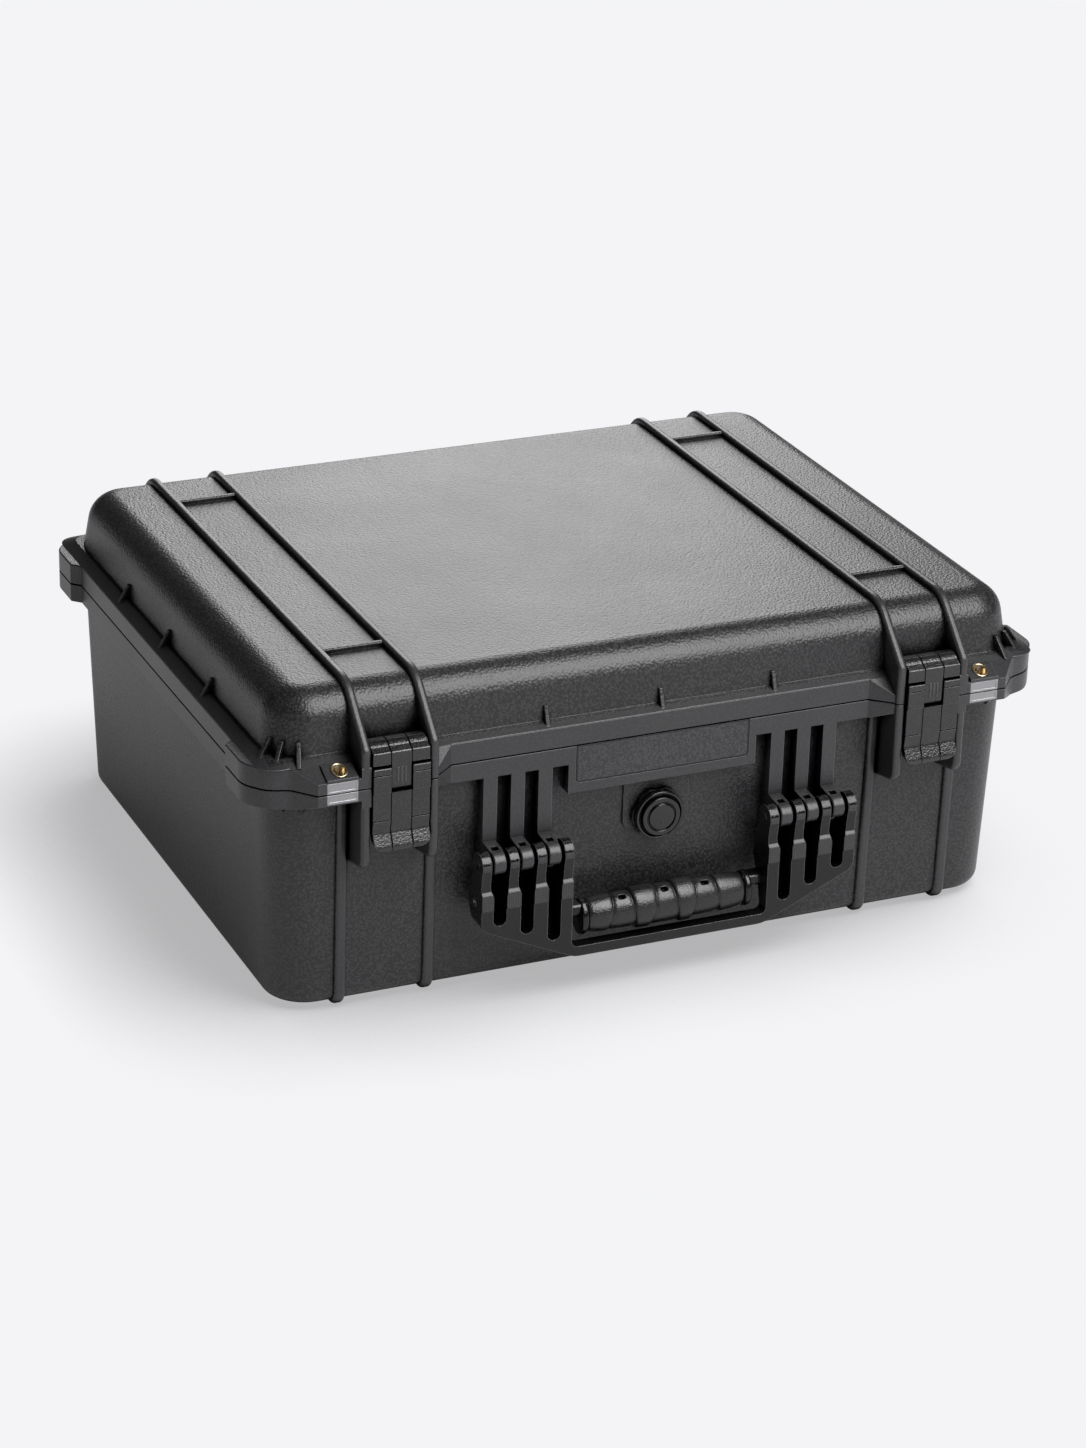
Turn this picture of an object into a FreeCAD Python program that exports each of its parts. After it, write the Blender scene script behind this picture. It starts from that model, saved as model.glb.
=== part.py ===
# Protective hard case: a moulded base and a hinged lid, two compound draw latches, a folding carry
# handle, a purge valve and two padlock eyes.
# Millimetres. The origin is the middle of the footprint on the floor, +X runs to the right along the
# front, +Y to the hinges at the back, +Z up. The front, with handle and latches, looks along -Y.
import FreeCAD
import Part
import math
import os

V = FreeCAD.Vector
DEG = math.pi / 180

# Shells
CASE_LENGTH = 504.0        # outside of the lid wall at the seam
CASE_DEPTH = 389.0
SEAM_Z = 155.5
SEAM_GAP = 0.8
WALL = 4.0
LID_HEIGHT = 53.7          # seam to the flat top
LID_DRAFT = 7.65
LID_CORNER_R = 26.0
LID_TOP_R = 19.5
BASE_STEP_X = 1.9          # the base wall stands this far inside the lid wall
BASE_STEP_Y = 3.2
BASE_DRAFT = 1.7
BASE_CORNER_R = 28.0
BASE_BOTTOM_R = 8.0
FLOOR_T = 4.0

# Ribs
RIB_W = 6.0                # lid ribs, which run on into the latch ears
RIB_H = 4.0
RIB_EDGE_R = 2.4
RIB_KNEE_ABOVE_SEAM = 24.5
RIB_KNEE_R = 6.0
RIB_SHOULDER_IN = 15.4     # from the lid wall back to where rib top and slope would meet
CROSS_RIB_W = 3.6
CROSS_RIB_H = 3.0
CROSS_RIB_EDGE_R = 1.0
CROSS_RIB_Y = 132.0
FOOT_RIB_W = 7.4           # base ribs, which wrap under the floor as feet
FOOT_RIB_H = 3.0
FOOT_RIB_EDGE_R = 2.6
FOOT_RIB_OFF = 28.7        # either side of the latch's middle

# Rim flanges
LEDGE_X = 7.5
LEDGE_Y = 4.7
LEDGE_RISE = 3.6
LEDGE_EDGE_R = 0.2
FLANGE_EDGE_R = 0.9        # outer edge of the lid's ledge and lower edge of the base's flange
SEAM_EDGE_R = 0.4
LID_FLANGE_H = 13.3
BASE_FLANGE_H = 12.1
EAR_PROUD = 14.0           # ear fronts, beyond the flange's front
EAR_BEVEL = 13.0           # length of the bevel from flange to ear
BEVEL_BACK = 3.0           # where it meets the ear, behind the ear's front
BUMP_PROUD = 5.5           # corner bumpers, beyond the flange's sides
BUMP_LENGTH = 47.0
BUMP_R = 20.0
BUMP_CUT_X = 10.6
BUMP_CUT_Y = 14.1
BUMP_FRONT_IN = 4.4
LID_BEVEL_DROP = 10.7
BASE_BEVEL_RISE = 7.3
EAR_DEPTH = 52.0           # base ears, below the seam at their front
EAR_SLOPE = 5.0            # and this much more at the wall
EAR_NOSE_R = 8.0

# Gussets
GUSSET_T = 2.8
GUSSET_H = 12.5
GUSSET_EDGE_R = 0.6
GUSSET_PITCH = 76.0
SIDE_GUSSET_PITCH = 80.0
SIDE_GUSSET_MID = -4.0
CORNER_GUSSETS = (25.0, 47.0, 72.0)   # degrees round each corner from the side
CORNER_GUSSET_OUT = 9.5
BASE_GUSSET_H = 8.0

# Seal
SEAL_W = 4.0
SEAL_H = 3.3
SEAL_FIT = 0.2
SEAL_IN_X = 6.0
SEAL_IN_Y = 4.7
SEAL_CORNER_R = 24.0
SEAL_EDGE_R = 1.2
SEAL_CLEAR = 0.35

# Latches
LATCH_FROM_SIDE = 82.3     # latch middle, inwards from the flange's side
LATCH_W = 36.0
LATCH_SIDE_GAP = 0.6
LID_PIN_R = 2.0
LID_PIN_BACK = 10.2        # behind the ear fronts
LID_PIN_ABOVE_SEAM = 17.0
LID_PIN_IN_EAR = 4.4
LINK_R = 9.8
LINK_FRONT = 0.8           # in front of the ears
LINK_EDGE_ABOVE_PIN = 4.7
LINK_EDGE_R = 1.2
LINK_CROWN_OUT = 2.0       # crown of the block, in front of the lid pin
LEVER_PIN_R = 1.6
LEVER_PIN_BACK = 2.9
LEVER_PIN_ABOVE_SEAM = 7.0
LEVER_FRONT = 2.2
LEVER_TOP_ABOVE_PIN = 5.3
LEVER_LENGTH = 48.2        # lever pin down to the lip
LEVER_BACK_R = 5.1
LEVER_CLEAR = 0.6
LEVER_LIP_R = 8.0
LEVER_EDGE_R = 0.8
LEVER_STEP = 1.0           # face below the fork, set back
LEVER_STEP_H = 0.6
LEVER_WAIST_H = 19.0       # heights above the lever's lower end
LEVER_HOLLOW_H = 12.0
LEVER_NOSE_H = 3.0
LEVER_HOLLOW = 2.0         # face above the lip, drawn in
LEVER_NOSE_PROUD = 2.0
LEVER_NOSE_R = 2.5
LEVER_BEND_R = 5.0
LEVER_HEEL_R = 4.1
LEVER_TOP_IN = 2.0
LEVER_TOP_R = 1.5
LIP_T = 4.0
LIP_BACK_R = 3.0
LATCH_COLUMN = 6.35        # half the width of the middle column
COLUMN_GAP = 0.4
COLUMN_GROOVE = 0.7
COLUMN_EDGE_R = 0.4
FACE_GROOVE_W = 0.7        # grooves across the lever's outer columns
FACE_GROOVE_DROPS = (4.6, 34.3)
TONGUE_RIDGE_W = 0.8
TONGUE_RIDGE_PITCH = 2.4
TONGUE_RIDGE_PROUD = 0.35
TONGUE_RIDGE_LENGTH = 9.5
TONGUE_DROP = 10.0
TONGUE_FIT = 0.6
TONGUE_R = 3.0
TONGUE_BACK_IN = 1.0
CATCH_PROUD = 4.0          # catch lip on the base, beyond the flange's front
CLAW_CLEAR = 0.5
CLAW_FOOT_H = 23.0
CLAW_TOP_H = 27.0
CLAW_ROOT_H = 30.0
CLAW_HOOK = 1.5
CLAW_EDGE_R = 0.8
NOTCH_FLOOR = 4.1          # lid flange left under the latch links

# Pins, holes and joins
RUN_FIT = 0.05             # radial clearance of a turning pin
PIN_END = 0.5
CUT_PAST = 1.0             # how far a cutter runs past the face it opens
LAP = 1.0                  # how far joined pieces run into each other

# Padlock eyes
PADLOCK_OFF = 36.6         # outwards from the latch's middle
PADLOCK_BACK = 6.4         # behind the ear fronts
PADLOCK_R = 4.2
SLEEVE_WALL = 1.0
SLEEVE_H = 7.2
PLATE_W = 19.2
PLATE_T = 1.6
LID_PLATE_H = 6.6
BASE_PLATE_H = 5.9
PLATE_DEPTH = 12.7
PLATE_BORDER = 1.2         # raised rim round the sunk panel of each plate's front leg
PLATE_PANEL_DEPTH = 0.3
PAD_PROUD = 1.6            # raised pad round each padlock hole in the lid
BOSS_W = 15.2              # from the padlock hole to the boss's outer corner
BOSS_SLOPE = 12.0
BOSS_FOOT_R = 8.0
LID_BOSS_DROP = 6.2
BASE_BOSS_RISE = 5.3

# Hinges
HINGE_BEHIND = 10.3        # pin axis, behind the flange's back
HINGE_R = 9.0
HINGE_PIN_R = 2.5
KNUCKLE_W = 12.0
KNUCKLE_GAP = 0.5

# Handle
BRACKET_FROM_LATCH = 81.2  # middle of each bracket, inwards from the latch's middle
BARREL_PITCH = 18.0
BARREL_COUNT = 3
BARREL_W = 8.2
BARREL_R = 7.2
BAR_W = 9.0
PIVOT_BELOW_SEAM = 63.0
PIVOT_PROUD = 11.5         # pivot axis, in front of the flange's front
NECK_ABOVE_PIVOT = 8.5
NECK_DEPTH = 13.0
BARREL_HOLE_W = 4.6        # small moulding hole over each barrel
BARREL_HOLE_SET = (1.0, 5.5)
BARREL_HOLE_FLOOR = 3.8
ARM_EYE_R = 7.8
ARM_W = 6.0
HANDLE_PIN_R = 2.5
BARREL_BEVEL = 0.7
HANDLE_DROP = 70.2         # pivot axis down to the handle's lower edge
HANDLE_CORNER_DROP = 41.3
HANDLE_CORNER_R = 8.0
HANDLE_BEND_R = 30.0
HANDLE_BACK = 15.2         # deepest cheek, behind the pivot axis
HANDLE_WEB_H = 7.2
HANDLE_EDGE_R = 1.5
WAIST_IN = 1.6             # front of the arms between eye and knee, drawn in
WAIST_DROPS = (11.0, 16.0)
WAIST_R = 5.0
KNEE_DROPS = (18.3, 28.5)  # raised knee of each arm, below the pivot axis
KNEE_PROUD = 0.6
POCKET_DROP = 14.5         # lower part of each slot is a pocket with a web behind it
POCKET_WEB = 3.2
HANDLE_INNER_R = 4.0
CHEEK_FOOT_DROP = 45.3     # lower end of the cheek, below the pivot axis
CHEEK_FOOT_IN = 9.0
CHEEK_FOOT_R = 9.0
CHEEK_R = 14.0
CHEEK_NECK_R = 10.0
SLOT_W = 8.6
SLOT_DROPS = (55.7, 48.0, 39.5)       # slot bottoms below the pivot, inner to outer
SLOT_FLARE_DROP = 20.0
SLOT_FLARE_TOP = 14.5
SLOT_END_FLAT = 0.4
GRIP_GAP = 13.0            # between each inner arm and the soft grip
GRIP_H = 27.5
GRIP_D = 23.0
GRIP_DROP = 48.7
GRIP_SET = 4.7             # grip middle, behind the pivot axis
GRIP_STEP = 0.9
GRIP_FIT = 0.5
GRIP_TOP_R = 9.5
GRIP_BACK_R = 8.0
GRIP_FOOT_R = 1.2
GRIP_CORNER_R = 4.0
GRIP_EDGE_R = 0.4
GRIP_CORE_H = 17.0
GRIP_CORE_D = 13.0
# Ends of each band along the grip's half length, and its steps down from the proudest band
GRIP_BANDS = ((-1.0, -0.71, 1), (-0.71, -0.42, 2), (-0.42, -0.17, 0), (-0.17, 0.12, 1),
              (0.12, 0.34, 0), (0.34, 0.65, 2), (0.65, 1.0, 1))
GRIP_POCKET_BANDS = (1, 3, 5)
GRIP_POCKET_R = 3.2
GRIP_POCKET_DEPTH = 5.0
GRIP_POCKET_OUT = 5.5      # in front of the grip's middle
COLLAR_W = 4.5             # collar of the frame at each end of the soft grip
COLLAR_IN = 3.0
NECK_UP = (2.0, 10.5)      # arm of the grip's bar, above the grip's middle
NECK_HALF = 5.5
NECK_R = 3.0
SCREW_R = 2.6
SCREW_DEPTH = 5.0
SCREW_DROP = 27.0
SCREW_SET = 4.0            # behind the pivot axis

# Name plate and valve
NAME_BLOCK_H = 31.0        # below the seam
NAME_BLOCK_FROM_BRACKET = 33.1
NAME_MARGIN = 5.1
NAME_T = 1.2
NAME_FIT = 0.3
NAME_CORNER_R = 3.0
NAME_BOTTOM_MARGIN = 6.5
VALVE_BELOW_SEAM = 56.3
VALVE_PAD_W = 44.0
VALVE_PAD_DROP = 10.0
VALVE_PAD_R = 7.0
VALVE_PAD_PROUD = 1.7
VALVE_STEM_R = 8.0
VALVE_LOBES = 6
VALVE_LOBE_R = 17.0
VALVE_LOBE_DEPTH = 1.6
VALVE_BITE_FROM = 25.5     # middle of each bite between two lobes
VALVE_FLANGE_T = 2.4
GASKET_T = 1.2
GASKET_R = 14.5
KNOB_RINGS = ((14.0, 2.0), (10.2, 1.9), (7.7, 0.4))   # radius and height of each step
KNOB_POST_R = 5.0
KNOB_POST_H = 2.4
KNOB_GAP = 0.4
NUT_R = 13.5
NUT_T = 5.0
STEM_PAST_NUT = 2.0
NUT_BOSS_RIM = 2.0         # flat boss inside the wall, round the nut
NUT_BOSS_PROUD = 1.0

# Places worked out from the sizes above
FLANGE_X = CASE_LENGTH / 2 + LEDGE_X
FLANGE_Y = CASE_DEPTH / 2 + LEDGE_Y
BUMP_X = FLANGE_X + BUMP_PROUD
EAR_Y = FLANGE_Y + EAR_PROUD
LID_BOTTOM = SEAM_Z + SEAM_GAP / 2
BASE_TOP = SEAM_Z - SEAM_GAP / 2
LID_TOP = SEAM_Z + LID_HEIGHT
LEDGE_Z = LID_BOTTOM + LID_FLANGE_H
FLANGE_FOOT = BASE_TOP - BASE_FLANGE_H
BASE_LENGTH = CASE_LENGTH - 2 * BASE_STEP_X
BASE_DEPTH = CASE_DEPTH - 2 * BASE_STEP_Y
BASE_FLOOR = FOOT_RIB_H
LATCH_X = FLANGE_X - LATCH_FROM_SIDE
EAR_OFF = LATCH_W / 2 + LATCH_SIDE_GAP + RIB_W / 2
LATCH_BAY = LATCH_W / 2 + LATCH_SIDE_GAP
LATCH_COLUMNS = ((-LATCH_W / 2, -LATCH_COLUMN - COLUMN_GAP), (-LATCH_COLUMN, LATCH_COLUMN),
                 (LATCH_COLUMN + COLUMN_GAP, LATCH_W / 2))
LID_PIN = V(0, -EAR_Y + LID_PIN_BACK, SEAM_Z + LID_PIN_ABOVE_SEAM)
LEVER_PIN = V(0, -EAR_Y + LEVER_PIN_BACK, SEAM_Z + LEVER_PIN_ABOVE_SEAM)
CATCH_Y = -FLANGE_Y - CATCH_PROUD
PADLOCK_X = LATCH_X + PADLOCK_OFF
PADLOCK_Y = -EAR_Y + PADLOCK_BACK
HINGE_Y = FLANGE_Y + HINGE_BEHIND
BRACKET_X = LATCH_X - BRACKET_FROM_LATCH
PIVOT_Y = -FLANGE_Y - PIVOT_PROUD
PIVOT_Z = SEAM_Z - PIVOT_BELOW_SEAM
HANDLE_FRONT = PIVOT_Y - ARM_EYE_R
BRACKET_HALF = BARREL_PITCH * BARREL_COUNT / 2 + ARM_W / 2
ARM_INNER_X = BRACKET_X - BRACKET_HALF
ARM_OUTER_X = BRACKET_X + BRACKET_HALF
GRIP_Y = PIVOT_Y + GRIP_SET
GRIP_Z = PIVOT_Z - GRIP_DROP
NAME_BLOCK_X = BRACKET_X - NAME_BLOCK_FROM_BRACKET
VALVE_Z = SEAM_Z - VALVE_BELOW_SEAM


def base_wall_y(z):
    """Outside of the base's front wall at a height."""
    return -BASE_DEPTH / 2 + (BASE_TOP - z) * math.tan(BASE_DRAFT * DEG)


VALVE_SEAT_Y = base_wall_y(VALVE_Z) - VALVE_PAD_PROUD
NUT_SEAT_Y = base_wall_y(VALVE_Z) + WALL + NUT_BOSS_PROUD


def outline(corners, place):
    """Closed wire through (a, b, radius) corners, each rounded off by a tangent arc of its radius."""
    arcs = []
    for index, (a, b, radius) in enumerate(corners):
        here = V(a, b, 0)
        if radius == 0:
            arcs.append((here, None, here))
            continue
        before = (V(*corners[index - 1][:2], 0) - here).normalize()
        after = (V(*corners[(index + 1) % len(corners)][:2], 0) - here).normalize()
        half_turn = before.getAngle(after) / 2
        reach = radius / math.tan(half_turn)
        inwards = (before + after).normalize() * (radius / math.sin(half_turn) - radius)
        arcs.append((here + before * reach, here + inwards, here + after * reach))
    edges = []
    for index, (start, middle, end) in enumerate(arcs):
        last = arcs[index - 1][2]
        if not last.isEqual(start, 1e-7):
            edges.append(Part.LineSegment(place(last), place(start)).toShape())
        if middle is not None:
            edges.append(Part.Arc(place(start), place(middle), place(end)).toShape())
    return Part.Wire(edges)


def prism(corners, axis, start, end):
    """Solid of a rounded outline, drawn across one axis and extruded along it."""
    places = {
        "x": lambda p: V(start, p.x, p.y),
        "y": lambda p: V(p.x, start, p.y),
        "z": lambda p: V(p.x, p.y, start),
    }
    along = {"x": V(1, 0, 0), "y": V(0, 1, 0), "z": V(0, 0, 1)}[axis]
    return Part.Face(outline(corners, places[axis])).extrude(along * (end - start))


def box(x0, x1, y0, y1, z0, z1):
    return Part.makeBox(x1 - x0, y1 - y0, z1 - z0, V(x0, y0, z0))


def rod(radius, x0, x1, centre):
    """Cylinder along X through a point."""
    return Part.makeCylinder(radius, x1 - x0, V(x0, centre.y, centre.z), V(1, 0, 0))


def post(radius, z0, z1, x, y):
    return Part.makeCylinder(radius, z1 - z0, V(x, y, z0))


def disc(radius, y0, y1):
    """Cylinder along Y on the valve's axis, between two depths."""
    return Part.makeCylinder(radius, abs(y1 - y0), V(0, max(y0, y1), VALVE_Z), V(0, -1, 0))


def corner_ring(half_x, half_y, radius):
    return [(half_x, -half_y, radius), (half_x, half_y, radius),
            (-half_x, half_y, radius), (-half_x, -half_y, radius)]


def both_sides(shape):
    """A shape and its mirror image across the middle plane."""
    return [shape, shape.mirror(V(0, 0, 0), V(1, 0, 0))]


def tapered_block(length, depth, z_wide, z_narrow, draft, corner_r, edge_r):
    """Block whose four walls lean in from its wide end, with round corners and a round narrow edge."""
    inset = abs(z_narrow - z_wide) * math.tan(draft * DEG)

    def trapezium(width):
        return [(-width / 2, z_wide, 0), (width / 2, z_wide, 0),
                (width / 2 - inset, z_narrow, 0), (-width / 2 + inset, z_narrow, 0)]

    block = prism(trapezium(depth), "x", -length, length)
    block = block.common(prism(trapezium(length), "y", -depth, depth))
    upright = [e for e in block.Edges if abs(e.Vertexes[0].Z - e.Vertexes[1].Z) > 1]
    block = block.makeFillet(corner_r, upright)
    rim = [e for e in block.Edges if all(abs(v.Z - z_narrow) < 1e-4 for v in e.Vertexes)]
    return block.makeFillet(edge_r, rim)


def runs_across(edge):
    """Whether an edge of an upright plate lies in its side view, not along its thickness."""
    return abs(edge.tangentAt(edge.FirstParameter).x) < 0.5


def rounded(plate, radius, wanted):
    """An upright plate with the edges of its side view rounded off, as far as a condition picks them."""
    return plate.makeFillet(radius, [e for e in plate.Edges if runs_across(e) and wanted(e.BoundBox)])


def flange_corners():
    """Plan of the rim flange: latch bosses at the front, bumpers at the four corners."""
    boss_x = PADLOCK_X + BOSS_W
    ear_x = LATCH_X - EAR_OFF - RIB_W / 2
    bump_y = FLANGE_Y - BUMP_FRONT_IN
    right = [
        (ear_x - EAR_BEVEL, -FLANGE_Y, 0),
        (ear_x, -EAR_Y + BEVEL_BACK, 0),
        (LATCH_X, -EAR_Y + BEVEL_BACK, 0),
        (LATCH_X, -EAR_Y, 0),
        (boss_x, -EAR_Y, 0),
        (boss_x + BOSS_SLOPE, -FLANGE_Y, BOSS_FOOT_R),
    ]
    for side in (-1, 1):
        bump = [
            (BUMP_X - BUMP_CUT_X, side * bump_y, BUMP_R),
            (BUMP_X, side * (bump_y - BUMP_CUT_Y), BUMP_R),
            (BUMP_X, side * (FLANGE_Y - BUMP_LENGTH), 0),
            (FLANGE_X, side * (FLANGE_Y - BUMP_LENGTH - BUMP_PROUD), 0),
        ]
        right += bump if side < 0 else bump[::-1]
    right.append((boss_x + BOSS_SLOPE, FLANGE_Y, 0))
    return right + [(-x, y, radius) for x, y, radius in reversed(right)]


def rim_flange(z_seam, z_away):
    """Flange plate of one shell, its edges rounded: finely at the seam, more at the other face."""
    plate = prism(flange_corners(), "z", min(z_seam, z_away), max(z_seam, z_away))
    for z, radius in ((z_seam, SEAM_EDGE_R), (z_away, FLANGE_EDGE_R)):
        flat = [e for e in plate.Edges if e.BoundBox.ZLength < LAP / 2]
        plate = plate.makeFillet(radius, [e for e in flat if abs(e.Vertexes[0].Z - z) < LAP / 2])
    return plate


def front_slope(x0, x1, z_at_flange, z_at_ear, z_away):
    """Cutter that slopes a boss from the flange's front face down or up to the ear fronts."""
    y_past = -EAR_Y - CUT_PAST
    z_past = z_at_ear + (z_at_ear - z_at_flange) * CUT_PAST / EAR_PROUD
    corners = [(-FLANGE_Y, z_at_flange, 0), (y_past, z_past, 0),
               (y_past, z_away, 0), (-FLANGE_Y, z_away, 0)]
    return prism(corners, "x", x0, x1)


def slope_cutters(z_flange, z_boss, z_bevel, z_away, pad):
    """Cutters for the sloped bosses and bevels beside the latches; a pad stays round each padlock hole."""
    ear_x = LATCH_X - EAR_OFF - RIB_W / 2
    stops = (LATCH_X + EAR_OFF + RIB_W / 2, PADLOCK_X - PLATE_W / 2, PADLOCK_X + PLATE_W / 2,
             PADLOCK_X + BOSS_W + BOSS_SLOPE)
    cutters = both_sides(front_slope(ear_x - EAR_BEVEL, ear_x, z_flange, z_bevel, z_away))
    for x0, x1, proud in zip(stops, stops[1:], (0, pad, 0)):
        cutters += both_sides(front_slope(x0, x1, z_flange + proud, z_boss + proud, z_away))
    return cutters


def padlock_holes(z_sleeve, z_rim, z_bore0, z_bore1):
    """Cutters for a padlock eye: the sleeve's seat and the open bore through the boss."""
    seat = post(PADLOCK_R + SLEEVE_WALL, min(z_sleeve, z_rim), max(z_sleeve, z_rim), PADLOCK_X, PADLOCK_Y)
    bore = post(PADLOCK_R, z_bore0, z_bore1, PADLOCK_X, PADLOCK_Y)
    return both_sides(seat.fuse(bore))


def padlock_plate(z_rim, height):
    """Bent steel plate: one leg lies in the rim, the other shows in the boss's front."""
    inner = z_rim + math.copysign(PLATE_T, height)
    x0 = PADLOCK_X - PLATE_W / 2
    x1 = PADLOCK_X + PLATE_W / 2
    flat_leg = box(x0, x1, -EAR_Y, -EAR_Y + PLATE_DEPTH, min(z_rim, inner), max(z_rim, inner))
    low, high = sorted((z_rim, z_rim + height))
    front_leg = box(x0, x1, -EAR_Y, -EAR_Y + PLATE_T, low, high)
    return flat_leg.fuse(front_leg).removeSplitter()


def seal_ring(width, z0, z1):
    def filled(grown):
        half_x = FLANGE_X - SEAL_IN_X + grown
        half_y = FLANGE_Y - SEAL_IN_Y + grown
        return prism(corner_ring(half_x, half_y, SEAL_CORNER_R + grown), "z", z0, z1)

    return filled(width / 2).cut(filled(-width / 2))


def gusset(foot, lean, height, z_foot):
    """Small upright web against a wall: a triangle from a ledge, drawn outwards from the wall at Y = 0."""
    corners = [(foot, z_foot, 0), (0, z_foot + height, 0), (-lean, z_foot + height, 0), (-lean, z_foot, 0)]
    web = prism(corners, "x", -GUSSET_T / 2, GUSSET_T / 2)
    return rounded(web, GUSSET_EDGE_R, lambda edge: edge.YMax > LAP and edge.ZLength > LAP)


def turned(shape, angle, x, y):
    """A gusset drawn along +Y, turned about Z and moved to its foot on the wall."""
    placed = shape.copy()
    placed.rotate(V(0, 0, 0), V(0, 0, 1), angle)
    placed.translate(V(x, y, 0))
    return placed


def corner_gussets(length, depth, radius, shape):
    """Gussets fanned round the two front corners of a shell."""
    fan = []
    for angle in CORNER_GUSSETS:
        x = length / 2 - radius + radius * math.cos(angle * DEG)
        y = -depth / 2 + radius - radius * math.sin(angle * DEG)
        fan += both_sides(turned(shape, -90 - angle, x, y))
    return fan


def lid_rib(x):
    """Rib over the lid: it leans out at both ends, into the latch ear and into the hinge cheek."""
    knee_z = SEAM_Z + RIB_KNEE_ABOVE_SEAM
    shoulder = CASE_DEPTH / 2 - RIB_SHOULDER_IN
    shoulder_r = LID_TOP_R + RIB_H
    top = LID_TOP + RIB_H
    corners = [(-EAR_Y, LID_BOTTOM, 0), (-EAR_Y, knee_z, RIB_KNEE_R), (-shoulder, top, shoulder_r),
               (shoulder, top, shoulder_r), (EAR_Y, knee_z, RIB_KNEE_R), (EAR_Y, LID_BOTTOM, 0)]
    plate = prism(corners, "x", x - RIB_W / 2, x + RIB_W / 2)
    return rounded(plate, RIB_EDGE_R, lambda edge: edge.ZMax > LID_BOTTOM + LAP)


def cross_rib(x, y):
    """Low bar across the lid between two ribs."""
    bar = box(x - EAR_OFF, x + EAR_OFF, y - CROSS_RIB_W / 2, y + CROSS_RIB_W / 2,
              LID_TOP - LAP, LID_TOP + CROSS_RIB_H)
    top_edges = [e for e in bar.Edges if e.BoundBox.ZMin > LID_TOP and not runs_across(e)]
    return bar.makeFillet(CROSS_RIB_EDGE_R, top_edges)


def knuckle(x0, x1, corners):
    """Hinge eye on its arm."""
    hinge = V(0, HINGE_Y, SEAM_Z)
    return rod(HINGE_R, x0, x1, hinge).fuse(prism(corners, "x", x0, x1))


def lid_knuckles(x):
    root = FLANGE_Y - LEDGE_Y
    arm = [(root, LID_BOTTOM, 0), (HINGE_Y, LID_BOTTOM, 0), (HINGE_Y, SEAM_Z + HINGE_R, 0),
           (FLANGE_Y, LEDGE_Z, 0), (root, LEDGE_Z, 0)]
    eyes = [knuckle(x - KNUCKLE_W / 2, x + KNUCKLE_W / 2, arm)]
    for cheek_x in (x - EAR_OFF, x + EAR_OFF):
        eyes.append(rod(HINGE_R, cheek_x - RIB_W / 2, cheek_x + RIB_W / 2, V(0, HINGE_Y, SEAM_Z)))
    return eyes


def base_knuckles(x):
    root = BASE_DEPTH / 2 - WALL / 2
    arm = [(root, FLANGE_FOOT, 0), (FLANGE_Y, FLANGE_FOOT, 0), (HINGE_Y, SEAM_Z - HINGE_R, 0),
           (HINGE_Y, BASE_TOP, 0), (root, BASE_TOP, 0)]
    near = KNUCKLE_W / 2 + KNUCKLE_GAP
    far = LATCH_BAY - KNUCKLE_GAP
    return [knuckle(x + near, x + far, arm), knuckle(x - far, x - near, arm)]


def lid_gussets():
    """Webs over the lid's ledge: along the front, along each side and fanned round each front corner."""
    lean = WALL / 2
    wall_in = LID_FLANGE_H * math.tan(LID_DRAFT * DEG)
    front_gusset = gusset(LEDGE_Y, lean, GUSSET_H, LEDGE_Z)
    side_gusset = gusset(LEDGE_X, lean, GUSSET_H, LEDGE_Z)
    length = CASE_LENGTH - 2 * wall_in
    depth = CASE_DEPTH - 2 * wall_in
    corner_gusset = gusset(CORNER_GUSSET_OUT, lean, GUSSET_H, LEDGE_Z)
    webs = corner_gussets(length, depth, LID_CORNER_R - wall_in, corner_gusset)
    for step in (-1, 0, 1):
        webs.append(turned(front_gusset, 180, step * GUSSET_PITCH, -depth / 2))
        side_y = SIDE_GUSSET_MID + step * SIDE_GUSSET_PITCH
        webs += both_sides(turned(side_gusset, -90, length / 2, side_y))
    return webs


def lid_rim():
    """Flange round the lid's mouth, with its sloped ledge, open where the latch links turn."""
    flange = rim_flange(LID_BOTTOM, LEDGE_Z)
    ledge_lean = math.degrees(math.atan2(LEDGE_X, LEDGE_RISE))
    plinth = tapered_block(2 * FLANGE_X, 2 * FLANGE_Y, LEDGE_Z, LEDGE_Z + LEDGE_RISE,
                           ledge_lean, LID_CORNER_R + LEDGE_X, LEDGE_EDGE_R)
    x0 = LATCH_X - LATCH_BAY
    x1 = LATCH_X + LATCH_BAY
    bay = box(x0, x1, -EAR_Y - CUT_PAST, -FLANGE_Y, LID_BOTTOM - CUT_PAST, LID_TOP)
    link_room = box(x0, x1, -FLANGE_Y, -CASE_DEPTH / 2 + WALL, LID_BOTTOM + NOTCH_FLOOR, LID_TOP)
    slopes = slope_cutters(LEDGE_Z, LEDGE_Z - LID_BOSS_DROP, LEDGE_Z - LID_BEVEL_DROP, LID_TOP, PAD_PROUD)
    return flange.fuse(plinth).cut(slopes).cut(both_sides(bay) + both_sides(link_room))


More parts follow.
